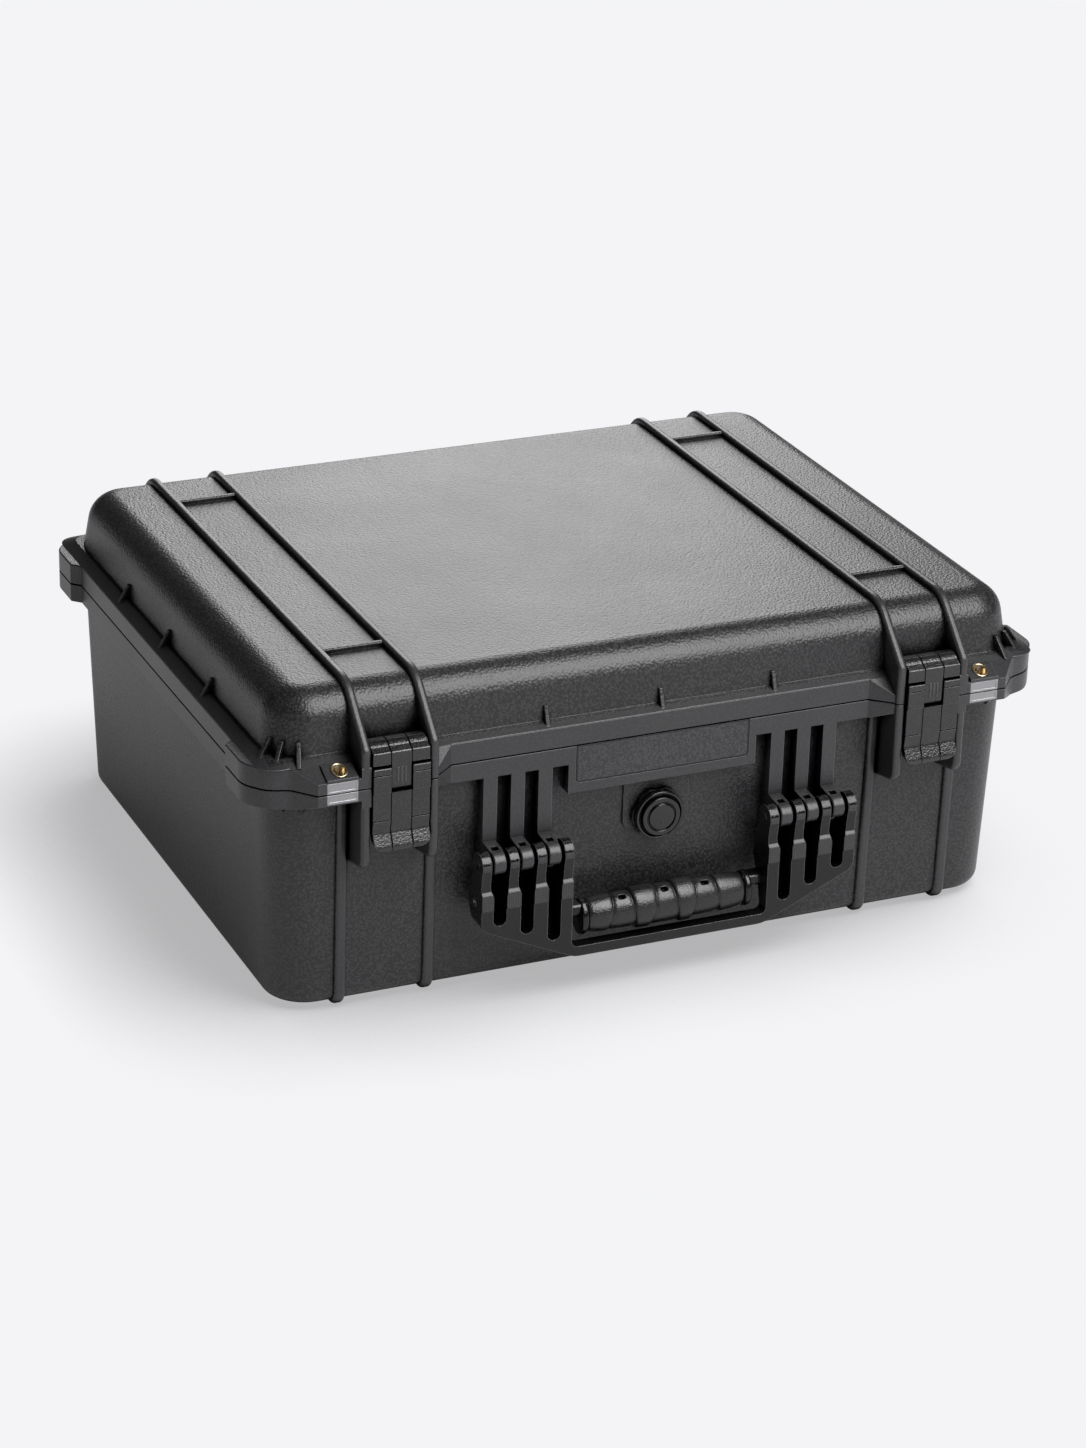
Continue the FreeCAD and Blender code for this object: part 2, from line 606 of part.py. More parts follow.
def make_lid():
    outer = tapered_block(CASE_LENGTH, CASE_DEPTH, LID_BOTTOM, LID_TOP, LID_DRAFT, LID_CORNER_R, LID_TOP_R)
    inside = tapered_block(CASE_LENGTH - 2 * WALL, CASE_DEPTH - 2 * WALL, LID_BOTTOM, LID_TOP - WALL,
                           LID_DRAFT, LID_CORNER_R - WALL, LID_TOP_R - WALL)
    pieces = [lid_rim()] + lid_gussets()
    for x in (-LATCH_X, LATCH_X):
        pieces += [lid_rib(x - EAR_OFF), lid_rib(x + EAR_OFF)] + lid_knuckles(x)
        pieces += [cross_rib(x, -CROSS_RIB_Y), cross_rib(x, CROSS_RIB_Y)]
    lid = outer.fuse(pieces).cut(inside)
    lid = lid.cut(seal_ring(SEAL_W + 2 * SEAL_FIT, LID_BOTTOM, LID_BOTTOM + SEAL_H))
    lid = lid.cut(both_sides(padlock_plate(LID_BOTTOM, LID_PLATE_H)))
    lid = lid.cut(padlock_holes(LID_BOTTOM + SLEEVE_H, LID_BOTTOM, LID_BOTTOM, LID_TOP))
    pin_reach = LATCH_BAY + LID_PIN_IN_EAR
    pin_hole = rod(LID_PIN_R, LATCH_X - pin_reach, LATCH_X + pin_reach, LID_PIN)
    hinge_reach = EAR_OFF + RIB_W
    hinge = V(0, HINGE_Y, SEAM_Z)
    hinge_hole = rod(HINGE_PIN_R + RUN_FIT, LATCH_X - hinge_reach, LATCH_X + hinge_reach, hinge)
    return lid.cut(both_sides(pin_hole) + both_sides(hinge_hole)).removeSplitter()


def foot_rib(x):
    """Rib up the front wall, under the floor and up the back wall of the base."""
    grown = tapered_block(BASE_LENGTH + 2 * FOOT_RIB_H, BASE_DEPTH + 2 * FOOT_RIB_H, BASE_TOP,
                          BASE_FLOOR - FOOT_RIB_H, BASE_DRAFT, BASE_CORNER_R + FOOT_RIB_H,
                          BASE_BOTTOM_R + FOOT_RIB_H)
    rib = grown.common(box(x - FOOT_RIB_W / 2, x + FOOT_RIB_W / 2, -CASE_DEPTH, CASE_DEPTH,
                           -CUT_PAST, FLANGE_FOOT + LAP))
    return rounded(rib, FOOT_RIB_EDGE_R, lambda edge: edge.ZMin < FLANGE_FOOT - LAP)


def base_ear(x):
    foot = BASE_TOP - EAR_DEPTH
    root = -BASE_DEPTH / 2 + WALL
    corners = [(-EAR_Y, BASE_TOP, 0), (-EAR_Y, foot, EAR_NOSE_R),
               (root, foot - EAR_SLOPE, 0), (root, BASE_TOP, 0)]
    plate = prism(corners, "x", x - RIB_W / 2, x + RIB_W / 2)
    return rounded(plate, RIB_EDGE_R, lambda edge: edge.YMin < root - LAP and edge.ZMin < BASE_TOP - LAP)


def barrel_xs():
    return [BRACKET_X + (step - (BARREL_COUNT - 1) / 2) * BARREL_PITCH for step in range(BARREL_COUNT)]


def handle_barrels():
    """Bars of a bracket, each with the barrel that carries the handle's pin."""
    pivot = V(0, PIVOT_Y, PIVOT_Z)
    root = -BASE_DEPTH / 2 + WALL
    neck_top = PIVOT_Z + NECK_ABOVE_PIVOT
    pieces = []
    for x in barrel_xs():
        bar = [(root, FLANGE_FOOT + LAP, 0), (-FLANGE_Y, FLANGE_FOOT + LAP, 0),
               (-FLANGE_Y, neck_top, 0), (root, neck_top, 0)]
        neck = [(root, neck_top, 0), (-FLANGE_Y, neck_top, 0), (PIVOT_Y, PIVOT_Z + BARREL_R, 0),
                (PIVOT_Y, PIVOT_Z - BARREL_R, 0), (root, PIVOT_Z - NECK_DEPTH, 0)]
        pieces.append(prism(bar, "x", x - BAR_W / 2, x + BAR_W / 2))
        pieces.append(prism(neck, "x", x - BARREL_W / 2, x + BARREL_W / 2))
        barrel = rod(BARREL_R, x - BARREL_W / 2, x + BARREL_W / 2, pivot)
        pieces.append(barrel.makeChamfer(BARREL_BEVEL, [e for e in barrel.Edges if e.isClosed()]))
    return pieces


def barrel_holes():
    """Cutters for the small holes that the mould leaves over the barrels."""
    near, far = BARREL_HOLE_SET
    holes = []
    for x in barrel_xs():
        hole = box(x - BARREL_HOLE_W / 2, x + BARREL_HOLE_W / 2, PIVOT_Y + near, PIVOT_Y + far,
                   PIVOT_Z + BARREL_HOLE_FLOOR, PIVOT_Z + BARREL_R + CUT_PAST)
        holes += both_sides(hole)
    return holes


def base_rim():
    """Flange round the base's mouth; between the latch ears it is cut back to the lip the claws catch."""
    rim = rim_flange(BASE_TOP, FLANGE_FOOT)
    boss_z = FLANGE_FOOT + BASE_BOSS_RISE
    rim = rim.cut(slope_cutters(FLANGE_FOOT, boss_z, FLANGE_FOOT + BASE_BEVEL_RISE, 0, 0))
    bay = box(LATCH_X - LATCH_BAY, LATCH_X + LATCH_BAY, -EAR_Y - CUT_PAST, CATCH_Y,
              FLANGE_FOOT - CUT_PAST, BASE_TOP + CUT_PAST)
    return rim.cut(both_sides(bay))


def valve_pad():
    """Raised flat on the front wall that the valve sits on."""
    half = VALVE_PAD_W / 2
    top = SEAM_Z - NAME_BLOCK_H + LAP
    foot = VALVE_Z - VALVE_PAD_DROP
    corners = [(-half, top, 0), (-half, foot, VALVE_PAD_R), (half, foot, VALVE_PAD_R), (half, top, 0)]
    return prism(corners, "y", VALVE_SEAT_Y, -BASE_DEPTH / 2 + WALL)


def make_base():
    outer = tapered_block(BASE_LENGTH, BASE_DEPTH, BASE_TOP, BASE_FLOOR,
                          BASE_DRAFT, BASE_CORNER_R, BASE_BOTTOM_R)
    inside = tapered_block(BASE_LENGTH - 2 * WALL, BASE_DEPTH - 2 * WALL, BASE_TOP, BASE_FLOOR + FLOOR_T,
                           BASE_DRAFT, BASE_CORNER_R - WALL, BASE_BOTTOM_R - WALL / 2)
    name_block = box(-NAME_BLOCK_X, NAME_BLOCK_X, -FLANGE_Y, -BASE_DEPTH / 2 + WALL,
                     SEAM_Z - NAME_BLOCK_H, BASE_TOP - LAP)
    pieces = [base_rim(), name_block, valve_pad()]
    for x in (-LATCH_X, LATCH_X):
        pieces += [foot_rib(x - FOOT_RIB_OFF), foot_rib(x + FOOT_RIB_OFF)]
        pieces += [base_ear(x - EAR_OFF), base_ear(x + EAR_OFF)]
        pieces += base_knuckles(x)
    for barrel in handle_barrels():
        pieces += both_sides(barrel)
    under_gusset = gusset(LEDGE_X, WALL / 2, -BASE_GUSSET_H, FLANGE_FOOT)
    pieces += corner_gussets(BASE_LENGTH, BASE_DEPTH, BASE_CORNER_R, under_gusset)

    base = outer.fuse(pieces).cut(inside)
    base = base.cut(both_sides(padlock_plate(BASE_TOP, -BASE_PLATE_H)))
    base = base.cut(padlock_holes(BASE_TOP - SLEEVE_H, BASE_TOP, FLANGE_FOOT, BASE_TOP))
    hinge_hole = rod(HINGE_PIN_R, LATCH_X - LATCH_BAY, LATCH_X + LATCH_BAY, V(0, HINGE_Y, SEAM_Z))
    pin_hole = rod(HANDLE_PIN_R + RUN_FIT, ARM_INNER_X, ARM_OUTER_X, V(0, PIVOT_Y, PIVOT_Z))
    base = base.cut(both_sides(hinge_hole) + both_sides(pin_hole) + barrel_holes())
    nut_boss = disc(NUT_R + NUT_BOSS_RIM, NUT_SEAT_Y, base_wall_y(VALVE_Z))
    stem_hole = disc(VALVE_STEM_R, NUT_SEAT_Y + CUT_PAST, VALVE_SEAT_Y - CUT_PAST)
    return base.fuse(nut_boss).cut([name_recess(NAME_FIT), stem_hole]).removeSplitter()


def name_recess(fit):
    half = NAME_BLOCK_X - NAME_MARGIN + fit
    bottom = SEAM_Z - NAME_BLOCK_H + NAME_BOTTOM_MARGIN - fit
    corners = [(-half, BASE_TOP, 0), (-half, bottom, NAME_CORNER_R),
               (half, bottom, NAME_CORNER_R), (half, BASE_TOP, 0)]
    return prism(corners, "y", -FLANGE_Y, -FLANGE_Y + NAME_T)


def make_link(x):
    """Upper block of a latch: it turns on the lid's pin and carries the lever's pin in its tongue."""
    front = -EAR_Y - LINK_FRONT
    edge_z = LID_PIN.z + LINK_EDGE_ABOVE_PIN
    x0 = x - LATCH_W / 2
    x1 = x + LATCH_W / 2

    def block(start, end, inset):
        corners = [(front + inset, LEVER_PIN.z, 0), (front + inset, edge_z - inset, LINK_EDGE_R),
                   (LID_PIN.y - LINK_CROWN_OUT, LID_PIN.z + LINK_R - inset, 0), (LID_PIN.y, LID_PIN.z, 0),
                   (LID_PIN.y, LEVER_PIN.z, 0)]
        eye = rod(LINK_R - inset, start, end, LID_PIN)
        return prism(corners, "x", start, end).fuse(eye).removeSplitter()

    link = block(x0, x1, COLUMN_GROOVE)
    for a, b in LATCH_COLUMNS:
        column = block(x + a, x + b, 0)
        link = link.fuse(rounded(column, COLUMN_EDGE_R, lambda edge: edge.ZMin > LID_PIN.z + LAP))
    sweep_r = math.hypot(LEVER_TOP_ABOVE_PIN, LEVER_PIN_BACK + LEVER_FRONT) + LEVER_CLEAR
    past0 = x0 - CUT_PAST
    past1 = x1 + CUT_PAST
    below = box(past0, past1, front - CUT_PAST, LID_PIN.y + LINK_R, SEAM_Z, LEVER_PIN.z)
    link = link.cut([rod(sweep_r, past0, past1, LEVER_PIN), below])
    back = LEVER_PIN.y + LEVER_BACK_R - TONGUE_BACK_IN
    foot = LEVER_PIN.z - TONGUE_DROP
    tongue = [(front, LID_PIN.z, 0), (front, foot, TONGUE_R), (back, foot, TONGUE_R),
              (back, LEVER_PIN.z, 0), (LID_PIN.y, LID_PIN.z, 0)]
    tongue_plate = rounded(prism(tongue, "x", x - LATCH_COLUMN, x + LATCH_COLUMN), COLUMN_EDGE_R,
                           lambda edge: edge.ZMin < LEVER_PIN.z)
    ridges = []
    for step in (-1, 0, 1):
        left = x + step * TONGUE_RIDGE_PITCH - TONGUE_RIDGE_W / 2
        ridges.append(box(left, left + TONGUE_RIDGE_W, front - TONGUE_RIDGE_PROUD, front + LAP,
                          LEVER_PIN.z - TONGUE_RIDGE_LENGTH / 2, LEVER_PIN.z + TONGUE_RIDGE_LENGTH / 2))
    link = link.fuse([tongue_plate] + ridges)
    pins = [rod(LID_PIN_R + RUN_FIT, x0, x1, LID_PIN), rod(LEVER_PIN_R, x0, x1, LEVER_PIN)]
    return link.cut(pins).removeSplitter()


def make_lever(x):
    """Lower pull lever of a latch: forked round the link's tongue, with a claw behind and a finger lip."""
    front = -EAR_Y - LEVER_FRONT
    back = LEVER_PIN.y + LEVER_BACK_R
    top = LEVER_PIN.z + LEVER_TOP_ABOVE_PIN
    foot = LEVER_PIN.z - LEVER_LENGTH
    fork = LEVER_PIN.z - TONGUE_DROP - TONGUE_FIT
    claw_y = CATCH_Y - CLAW_CLEAR
    x0 = x - LATCH_W / 2
    x1 = x + LATCH_W / 2

    def profile(inset):
        """Side view: down the face to the lip, then up behind the claw to the pin."""
        face = front + inset
        return [
            (face, top - inset, LEVER_EDGE_R),
            (face, fork, 0),
            (face + LEVER_STEP, fork - LEVER_STEP_H, 0),
            (face + LEVER_STEP, foot + LEVER_WAIST_H, LEVER_BEND_R),
            (face + LEVER_HOLLOW, foot + LEVER_HOLLOW_H, LEVER_BEND_R),
            (face - LEVER_NOSE_PROUD, foot + LEVER_NOSE_H, LEVER_NOSE_R),
            (front - LEVER_STEP, foot + inset, LEVER_EDGE_R),
            (front - LEVER_STEP + LIP_T, foot + LEVER_STEP + inset, LIP_BACK_R),
            (front + LEVER_HOLLOW + LIP_T, foot + LEVER_HOLLOW_H, LEVER_BEND_R),
            (back - inset, foot + LEVER_WAIST_H, LIP_BACK_R),
            (claw_y, foot + CLAW_FOOT_H, CLAW_EDGE_R),
            (claw_y, foot + CLAW_TOP_H, CLAW_EDGE_R),
            (back - CLAW_HOOK, foot + CLAW_ROOT_H, CLAW_EDGE_R),
            (back - CLAW_HOOK, LEVER_PIN.z - LEVER_BACK_R, 0),
            (back, LEVER_PIN.z, LEVER_HEEL_R),
            (back - LEVER_TOP_IN, top - inset, LEVER_TOP_R),
        ]

    core = prism(profile(COLUMN_GROOVE), "x", x0, x1)
    columns = []
    for a, b in LATCH_COLUMNS:
        column = prism(profile(0), "x", x + a, x + b)
        columns.append(rounded(column, COLUMN_EDGE_R, lambda edge: edge.YMin < front + LEVER_HOLLOW + LAP))
    lever = core.fuse(columns)
    for drop in FACE_GROOVE_DROPS:
        z = top - drop
        for a, b in (LATCH_COLUMNS[0], LATCH_COLUMNS[2]):
            lever = lever.cut(box(x + a - CUT_PAST, x + b, front - CUT_PAST, front + LEVER_HOLLOW,
                                  z, z + FACE_GROOVE_W))
    slot_half = LATCH_COLUMN + COLUMN_GAP
    past_y = front - LEVER_NOSE_PROUD - CUT_PAST
    slot = box(x - slot_half, x + slot_half, past_y, back + CUT_PAST, fork, top + CUT_PAST)
    past_z = top + CUT_PAST
    face_view = [(x0, foot, LEVER_LIP_R), (x1, foot, LEVER_LIP_R), (x1, past_z, 0), (x0, past_z, 0)]
    lever = lever.cut(slot).common(prism(face_view, "y", past_y, claw_y + CUT_PAST))
    return lever.cut(rod(LEVER_PIN_R + RUN_FIT, x0, x1, LEVER_PIN)).removeSplitter()


def handle_side_profile():
    """Side view of the handle: arms with a waist and a knee, a deep cheek behind, thin at the foot."""
    foot = PIVOT_Z - HANDLE_DROP
    face = HANDLE_FRONT + KNEE_PROUD
    back = PIVOT_Y + HANDLE_BACK
    neck_y = PIVOT_Y + ARM_EYE_R
    return [
        (HANDLE_FRONT, PIVOT_Z, 0),
        (HANDLE_FRONT + WAIST_IN, PIVOT_Z - WAIST_DROPS[0], WAIST_R),
        (HANDLE_FRONT + WAIST_IN, PIVOT_Z - WAIST_DROPS[1], 0),
        (HANDLE_FRONT, PIVOT_Z - KNEE_DROPS[0], 0),
        (HANDLE_FRONT, PIVOT_Z - KNEE_DROPS[1], 0),
        (face, PIVOT_Z - KNEE_DROPS[1] - KNEE_PROUD, 0),
        (face, foot, HANDLE_EDGE_R),
        (HANDLE_FRONT + HANDLE_WEB_H, foot, HANDLE_EDGE_R),
        (back - CHEEK_FOOT_IN, PIVOT_Z - CHEEK_FOOT_DROP, CHEEK_FOOT_R),
        (back, PIVOT_Z - SCREW_DROP, CHEEK_R),
        (neck_y, PIVOT_Z - ARM_EYE_R, CHEEK_NECK_R),
        (neck_y, PIVOT_Z, 0),
    ]


def handle_front_profile():
    """Front view of the handle: two slotted brackets joined by the web under the grip."""
    foot = PIVOT_Z - HANDLE_DROP
    top = PIVOT_Z + ARM_EYE_R
    right = [
        (ARM_INNER_X - ARM_W / 2, foot, HANDLE_BEND_R),
        (ARM_OUTER_X, PIVOT_Z - HANDLE_CORNER_DROP, HANDLE_CORNER_R),
        (ARM_OUTER_X, top, 0),
        (ARM_INNER_X, top, 0),
        (ARM_INNER_X, foot + HANDLE_WEB_H, HANDLE_INNER_R),
    ]
    return right + [(-x, z, radius) for x, z, radius in reversed(right)]


def handle_slot(x, drop, y0, y1):
    """Cutter between two arms: wide where the barrel sits, narrower below, with a round lower end."""
    half = SLOT_W / 2
    wide = (BARREL_PITCH - ARM_W) / 2
    foot = PIVOT_Z - drop
    top = PIVOT_Z + ARM_EYE_R + CUT_PAST
    end_r = half - SLOT_END_FLAT / 2
    corners = [(x - half, foot, end_r), (x + half, foot, end_r), (x + half, PIVOT_Z - SLOT_FLARE_DROP, 0),
               (x + wide, PIVOT_Z - SLOT_FLARE_TOP, 0), (x + wide, top, 0), (x - wide, top, 0),
               (x - wide, PIVOT_Z - SLOT_FLARE_TOP, 0), (x - half, PIVOT_Z - SLOT_FLARE_DROP, 0)]
    return prism(corners, "y", y0, y1)


def handle_screw():
    centre = V(0, PIVOT_Y + SCREW_SET, PIVOT_Z - SCREW_DROP)
    return rod(SCREW_R, ARM_OUTER_X - SCREW_DEPTH, ARM_OUTER_X, centre)


def grip_oval(height, depth, x0, x1):
    """Length of an oval bar along the grip's axis."""
    wire = Part.Wire([Part.Ellipse(V(0, 0, 0), height / 2, depth / 2).toShape()])
    wire.rotate(V(0, 0, 0), V(0, 1, 0), -90)
    wire.translate(V(x0, GRIP_Y, GRIP_Z))
    return Part.Face(wire).extrude(V(x1 - x0, 0, 0))


def grip_ends():
    """Collars and necks that join the grip's bar to the inner arms."""
    half = ARM_INNER_X - GRIP_GAP
    collar = grip_oval(GRIP_H - 2 * COLLAR_IN, GRIP_D - 2 * COLLAR_IN, half, half + COLLAR_W)
    low, high = (GRIP_Z + up for up in NECK_UP)
    corners = [(GRIP_Y - NECK_HALF, low, NECK_R), (GRIP_Y - NECK_HALF, high, NECK_R),
               (GRIP_Y + NECK_HALF, high, NECK_R), (GRIP_Y + NECK_HALF, low, NECK_R)]
    neck = prism(corners, "x", half, ARM_INNER_X + ARM_W / 2)
    return both_sides(collar) + both_sides(neck)


def make_handle():
    pivot = V(0, PIVOT_Y, PIVOT_Z)
    back = PIVOT_Y + HANDLE_BACK + CUT_PAST
    eyes = rod(ARM_EYE_R, -ARM_OUTER_X, ARM_OUTER_X, pivot)
    side_view = prism(handle_side_profile(), "x", -ARM_OUTER_X, ARM_OUTER_X).fuse(eyes)
    frame = prism(handle_front_profile(), "y", HANDLE_FRONT, back).common(side_view)
    in_front = side_view.copy()
    in_front.translate(V(0, -POCKET_WEB, 0))
    below = box(-ARM_OUTER_X, ARM_OUTER_X, HANDLE_FRONT, back, 0, PIVOT_Z - POCKET_DROP)
    for x, drop in zip(barrel_xs(), SLOT_DROPS):
        slot = handle_slot(x, drop, HANDLE_FRONT - CUT_PAST, back)
        web = slot.common(side_view).cut(in_front).common(below)
        frame = frame.cut(both_sides(slot)).fuse(both_sides(web))
    half = ARM_INNER_X - GRIP_GAP
    frame = frame.fuse([grip_oval(GRIP_CORE_H, GRIP_CORE_D, -half, half)] + grip_ends())
    frame = frame.cut(both_sides(rod(HANDLE_PIN_R, ARM_INNER_X - CUT_PAST, ARM_OUTER_X + CUT_PAST, pivot)))
    return frame.cut(both_sides(handle_screw())).removeSplitter()


def grip_band(start, end, step):
    """One band of the soft grip: flat in front, round over the top."""
    inset = step * GRIP_STEP
    face = HANDLE_FRONT + KNEE_PROUD + inset
    back = GRIP_Y + GRIP_D / 2 - inset
    top = GRIP_Z + GRIP_H / 2 - inset
    foot = PIVOT_Z - HANDLE_DROP + HANDLE_WEB_H + GRIP_FIT
    corners = [(face, foot, GRIP_FOOT_R), (face, top, GRIP_TOP_R),
               (back, top, GRIP_TOP_R), (back, foot, GRIP_BACK_R)]
    return rounded(prism(corners, "x", start, end), GRIP_EDGE_R, lambda edge: edge.ZMax > foot + LAP)


def make_grip():
    """Soft grip moulded round the handle's bar, in bands, with small pockets over the lower bands."""
    half = ARM_INNER_X - GRIP_GAP
    bands = [grip_band(start * half, end * half, step) for start, end, step in GRIP_BANDS]
    foot = PIVOT_Z - HANDLE_DROP + HANDLE_WEB_H + GRIP_FIT
    top = GRIP_Z + GRIP_H / 2
    front_view = [(-half, foot, GRIP_CORNER_R), (half, foot, GRIP_CORNER_R),
                  (half, top, 0), (-half, top, 0)]
    grip = bands[0].fuse(bands[1:]).common(prism(front_view, "y", HANDLE_FRONT, GRIP_Y + GRIP_D / 2))
    pockets = []
    for index in GRIP_POCKET_BANDS:
        start, end = GRIP_BANDS[index][:2]
        middle = (start + end) / 2 * half
        pockets.append(post(GRIP_POCKET_R, top - GRIP_POCKET_DEPTH, top, middle, GRIP_Y - GRIP_POCKET_OUT))
    return grip.cut(pockets + [grip_oval(GRIP_CORE_H, GRIP_CORE_D, -half, half)]).removeSplitter()


def make_valve():
    """Valve pieces on the valve's axis: gasket, lobed flange with its stem, lock nut and turning knob."""
    flange_y = VALVE_SEAT_Y - GASKET_T
    face_y = flange_y - VALVE_FLANGE_T
    nut_y = NUT_SEAT_Y + NUT_T
    gasket = disc(GASKET_R, VALVE_SEAT_Y, flange_y).cut(disc(VALVE_STEM_R, VALVE_SEAT_Y, flange_y))

    body = disc(VALVE_LOBE_R, flange_y, face_y)
    for lobe in range(VALVE_LOBES):
        angle = (lobe + 0.5) * 2 * math.pi / VALVE_LOBES
        bite_r = VALVE_BITE_FROM - VALVE_LOBE_R + VALVE_LOBE_DEPTH
        bite = disc(bite_r, flange_y + CUT_PAST, face_y - CUT_PAST)
        bite.translate(V(VALVE_BITE_FROM * math.cos(angle), 0, VALVE_BITE_FROM * math.sin(angle)))
        body = body.cut(bite)
    stem = disc(VALVE_STEM_R, nut_y + STEM_PAST_NUT, flange_y)
    body = body.fuse([stem, disc(KNOB_POST_R, face_y, face_y - KNOB_POST_H)])

    sixth = math.pi / 3
    hexagon = [(NUT_R * math.cos(k * sixth), VALVE_Z + NUT_R * math.sin(k * sixth), 0) for k in range(6)]
    nut = prism(hexagon, "y", NUT_SEAT_Y, nut_y).cut(disc(VALVE_STEM_R, NUT_SEAT_Y, nut_y))

    y = face_y - KNOB_GAP
    socket = disc(KNOB_POST_R + RUN_FIT, y, y - KNOB_POST_H)
    rings = []
    for radius, height in KNOB_RINGS:
        rings.append(disc(radius, y, y - height))
        y -= height
    knob = rings[0].fuse(rings[1:]).cut(socket)
    return {"valve_gasket": gasket, "valve_body": body.removeSplitter(),
            "valve_nut": nut, "valve_knob": knob}


def make_seal():
    foot = BASE_TOP + SEAL_CLEAR
    ring = seal_ring(SEAL_W, foot, LID_BOTTOM + SEAL_H)
    lower = [e for e in ring.Edges if all(abs(v.Z - foot) < SEAL_FIT for v in e.Vertexes)]
    return ring.makeFillet(SEAL_EDGE_R, lower)


def padlock_eye(rim, height, up):
    """Plate and sleeve of the right-hand padlock eye, in the lid or in the base."""
    z0, z1 = sorted((rim, rim + up * SLEEVE_H))
    seat = post(PADLOCK_R + SLEEVE_WALL, z0, z1, PADLOCK_X, PADLOCK_Y)
    plate = padlock_plate(rim, up * height).cut(seat)
    sleeve = seat.cut(post(PADLOCK_R, z0, z1, PADLOCK_X, PADLOCK_Y))
    low, high = sorted((rim + up * PLATE_BORDER, rim + up * (height - PLATE_BORDER)))
    half = PLATE_W / 2 - PLATE_BORDER
    panel = box(PADLOCK_X - half, PADLOCK_X + half, -EAR_Y, -EAR_Y + PLATE_PANEL_DEPTH, low, high)
    return plate.cut(panel), sleeve


def make_parts():
    parts = {
        "base_shell": make_base(),
        "lid_shell": make_lid(),
        "lid_seal": make_seal(),
        "handle_frame": make_handle(),
        "handle_grip": make_grip(),
        "handle_screws": Part.makeCompound(both_sides(handle_screw())),
        "name_plate": name_recess(0),
    }
    parts.update(make_valve())
    hinge = V(0, HINGE_Y, SEAM_Z)
    pivot = V(0, PIVOT_Y, PIVOT_Z)
    for name, side in (("right", 1), ("left", -1)):
        x = side * LATCH_X
        parts[name + "_latch_link"] = make_link(x)
        parts[name + "_latch_lever"] = make_lever(x)
        reach = LATCH_BAY + LID_PIN_IN_EAR - PIN_END
        parts[name + "_latch_lid_pin"] = rod(LID_PIN_R, x - reach, x + reach, LID_PIN)
        reach = LATCH_W / 2 - PIN_END
        parts[name + "_latch_lever_pin"] = rod(LEVER_PIN_R, x - reach, x + reach, LEVER_PIN)
        reach = EAR_OFF + RIB_W / 2 - PIN_END
        parts[name + "_hinge_pin"] = rod(HINGE_PIN_R, x - reach, x + reach, hinge)
        reach = BRACKET_HALF - PIN_END
        middle = side * BRACKET_X
        parts[name + "_handle_pin"] = rod(HANDLE_PIN_R, middle - reach, middle + reach, pivot)
    for shell, rim, height, up in (("lid", LID_BOTTOM, LID_PLATE_H, 1),
                                   ("base", BASE_TOP, BASE_PLATE_H, -1)):
        plate, sleeve = padlock_eye(rim, height, up)
        for name, one_plate, one_sleeve in zip(("right", "left"), both_sides(plate), both_sides(sleeve)):
            parts[name + "_" + shell + "_padlock_plate"] = one_plate
            parts[name + "_" + shell + "_padlock_sleeve"] = one_sleeve
    return parts


os.makedirs("parts", exist_ok=True)
for node, solid in make_parts().items():
    solid.exportStep("parts/" + node + ".step")
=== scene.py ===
import bpy
import math
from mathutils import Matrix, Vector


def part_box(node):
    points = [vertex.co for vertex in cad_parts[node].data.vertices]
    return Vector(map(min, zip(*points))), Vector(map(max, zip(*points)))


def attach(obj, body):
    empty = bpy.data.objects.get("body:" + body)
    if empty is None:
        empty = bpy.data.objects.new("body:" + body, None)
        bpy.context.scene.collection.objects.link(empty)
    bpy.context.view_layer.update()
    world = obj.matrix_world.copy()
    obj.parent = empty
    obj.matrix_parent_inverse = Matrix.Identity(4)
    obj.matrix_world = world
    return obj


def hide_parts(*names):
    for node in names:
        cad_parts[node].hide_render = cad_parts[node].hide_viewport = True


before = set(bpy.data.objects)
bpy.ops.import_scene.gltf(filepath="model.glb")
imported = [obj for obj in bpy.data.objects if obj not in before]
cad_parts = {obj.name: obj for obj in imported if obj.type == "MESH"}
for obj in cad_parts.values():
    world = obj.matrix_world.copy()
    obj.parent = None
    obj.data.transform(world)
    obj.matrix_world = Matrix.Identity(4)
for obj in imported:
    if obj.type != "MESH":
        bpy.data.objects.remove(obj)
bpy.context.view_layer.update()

# Base and lid shells: the two halves of the case, injection moulded in black polypropylene copolymer.
# The mould is etched, so the walls carry a fine pebble grain. The ribs and ears that run over them and
# the rim flange come from polished parts of the mould and are smooth.
MM = 0.001


def linear(hex_colour):
    """Linear RGBA of an sRGB hex colour."""
    channels = [int(hex_colour[i:i + 2], 16) / 255 for i in (1, 3, 5)]
    return [c / 12.92 if c <= 0.04045 else ((c + 0.055) / 1.055) ** 2.4 for c in channels] + [1.0]


def add_node(tree, kind, settings, links):
    """One shader node: settings by property or socket, links by socket, sockets by name or number."""
    node = tree.nodes.new(kind)
    for name, value in settings.items():
        if isinstance(name, str) and hasattr(node, name):
            setattr(node, name, value)
        else:
            node.inputs[name].default_value = value
    for name, source in links.items():
        tree.links.new(source, node.inputs[name])
    return node


def new_material(name):
    """An empty node material, its tree and its shader."""
    material = bpy.data.materials.new(name)
    material.use_nodes = True
    return material, material.node_tree, material.node_tree.nodes["Principled BSDF"]


def give_finish(material, *names):
    """Give CAD nodes a finish of their own."""
    for name in names:
        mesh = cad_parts[name].data
        mesh.materials.clear()
        mesh.materials.append(material)


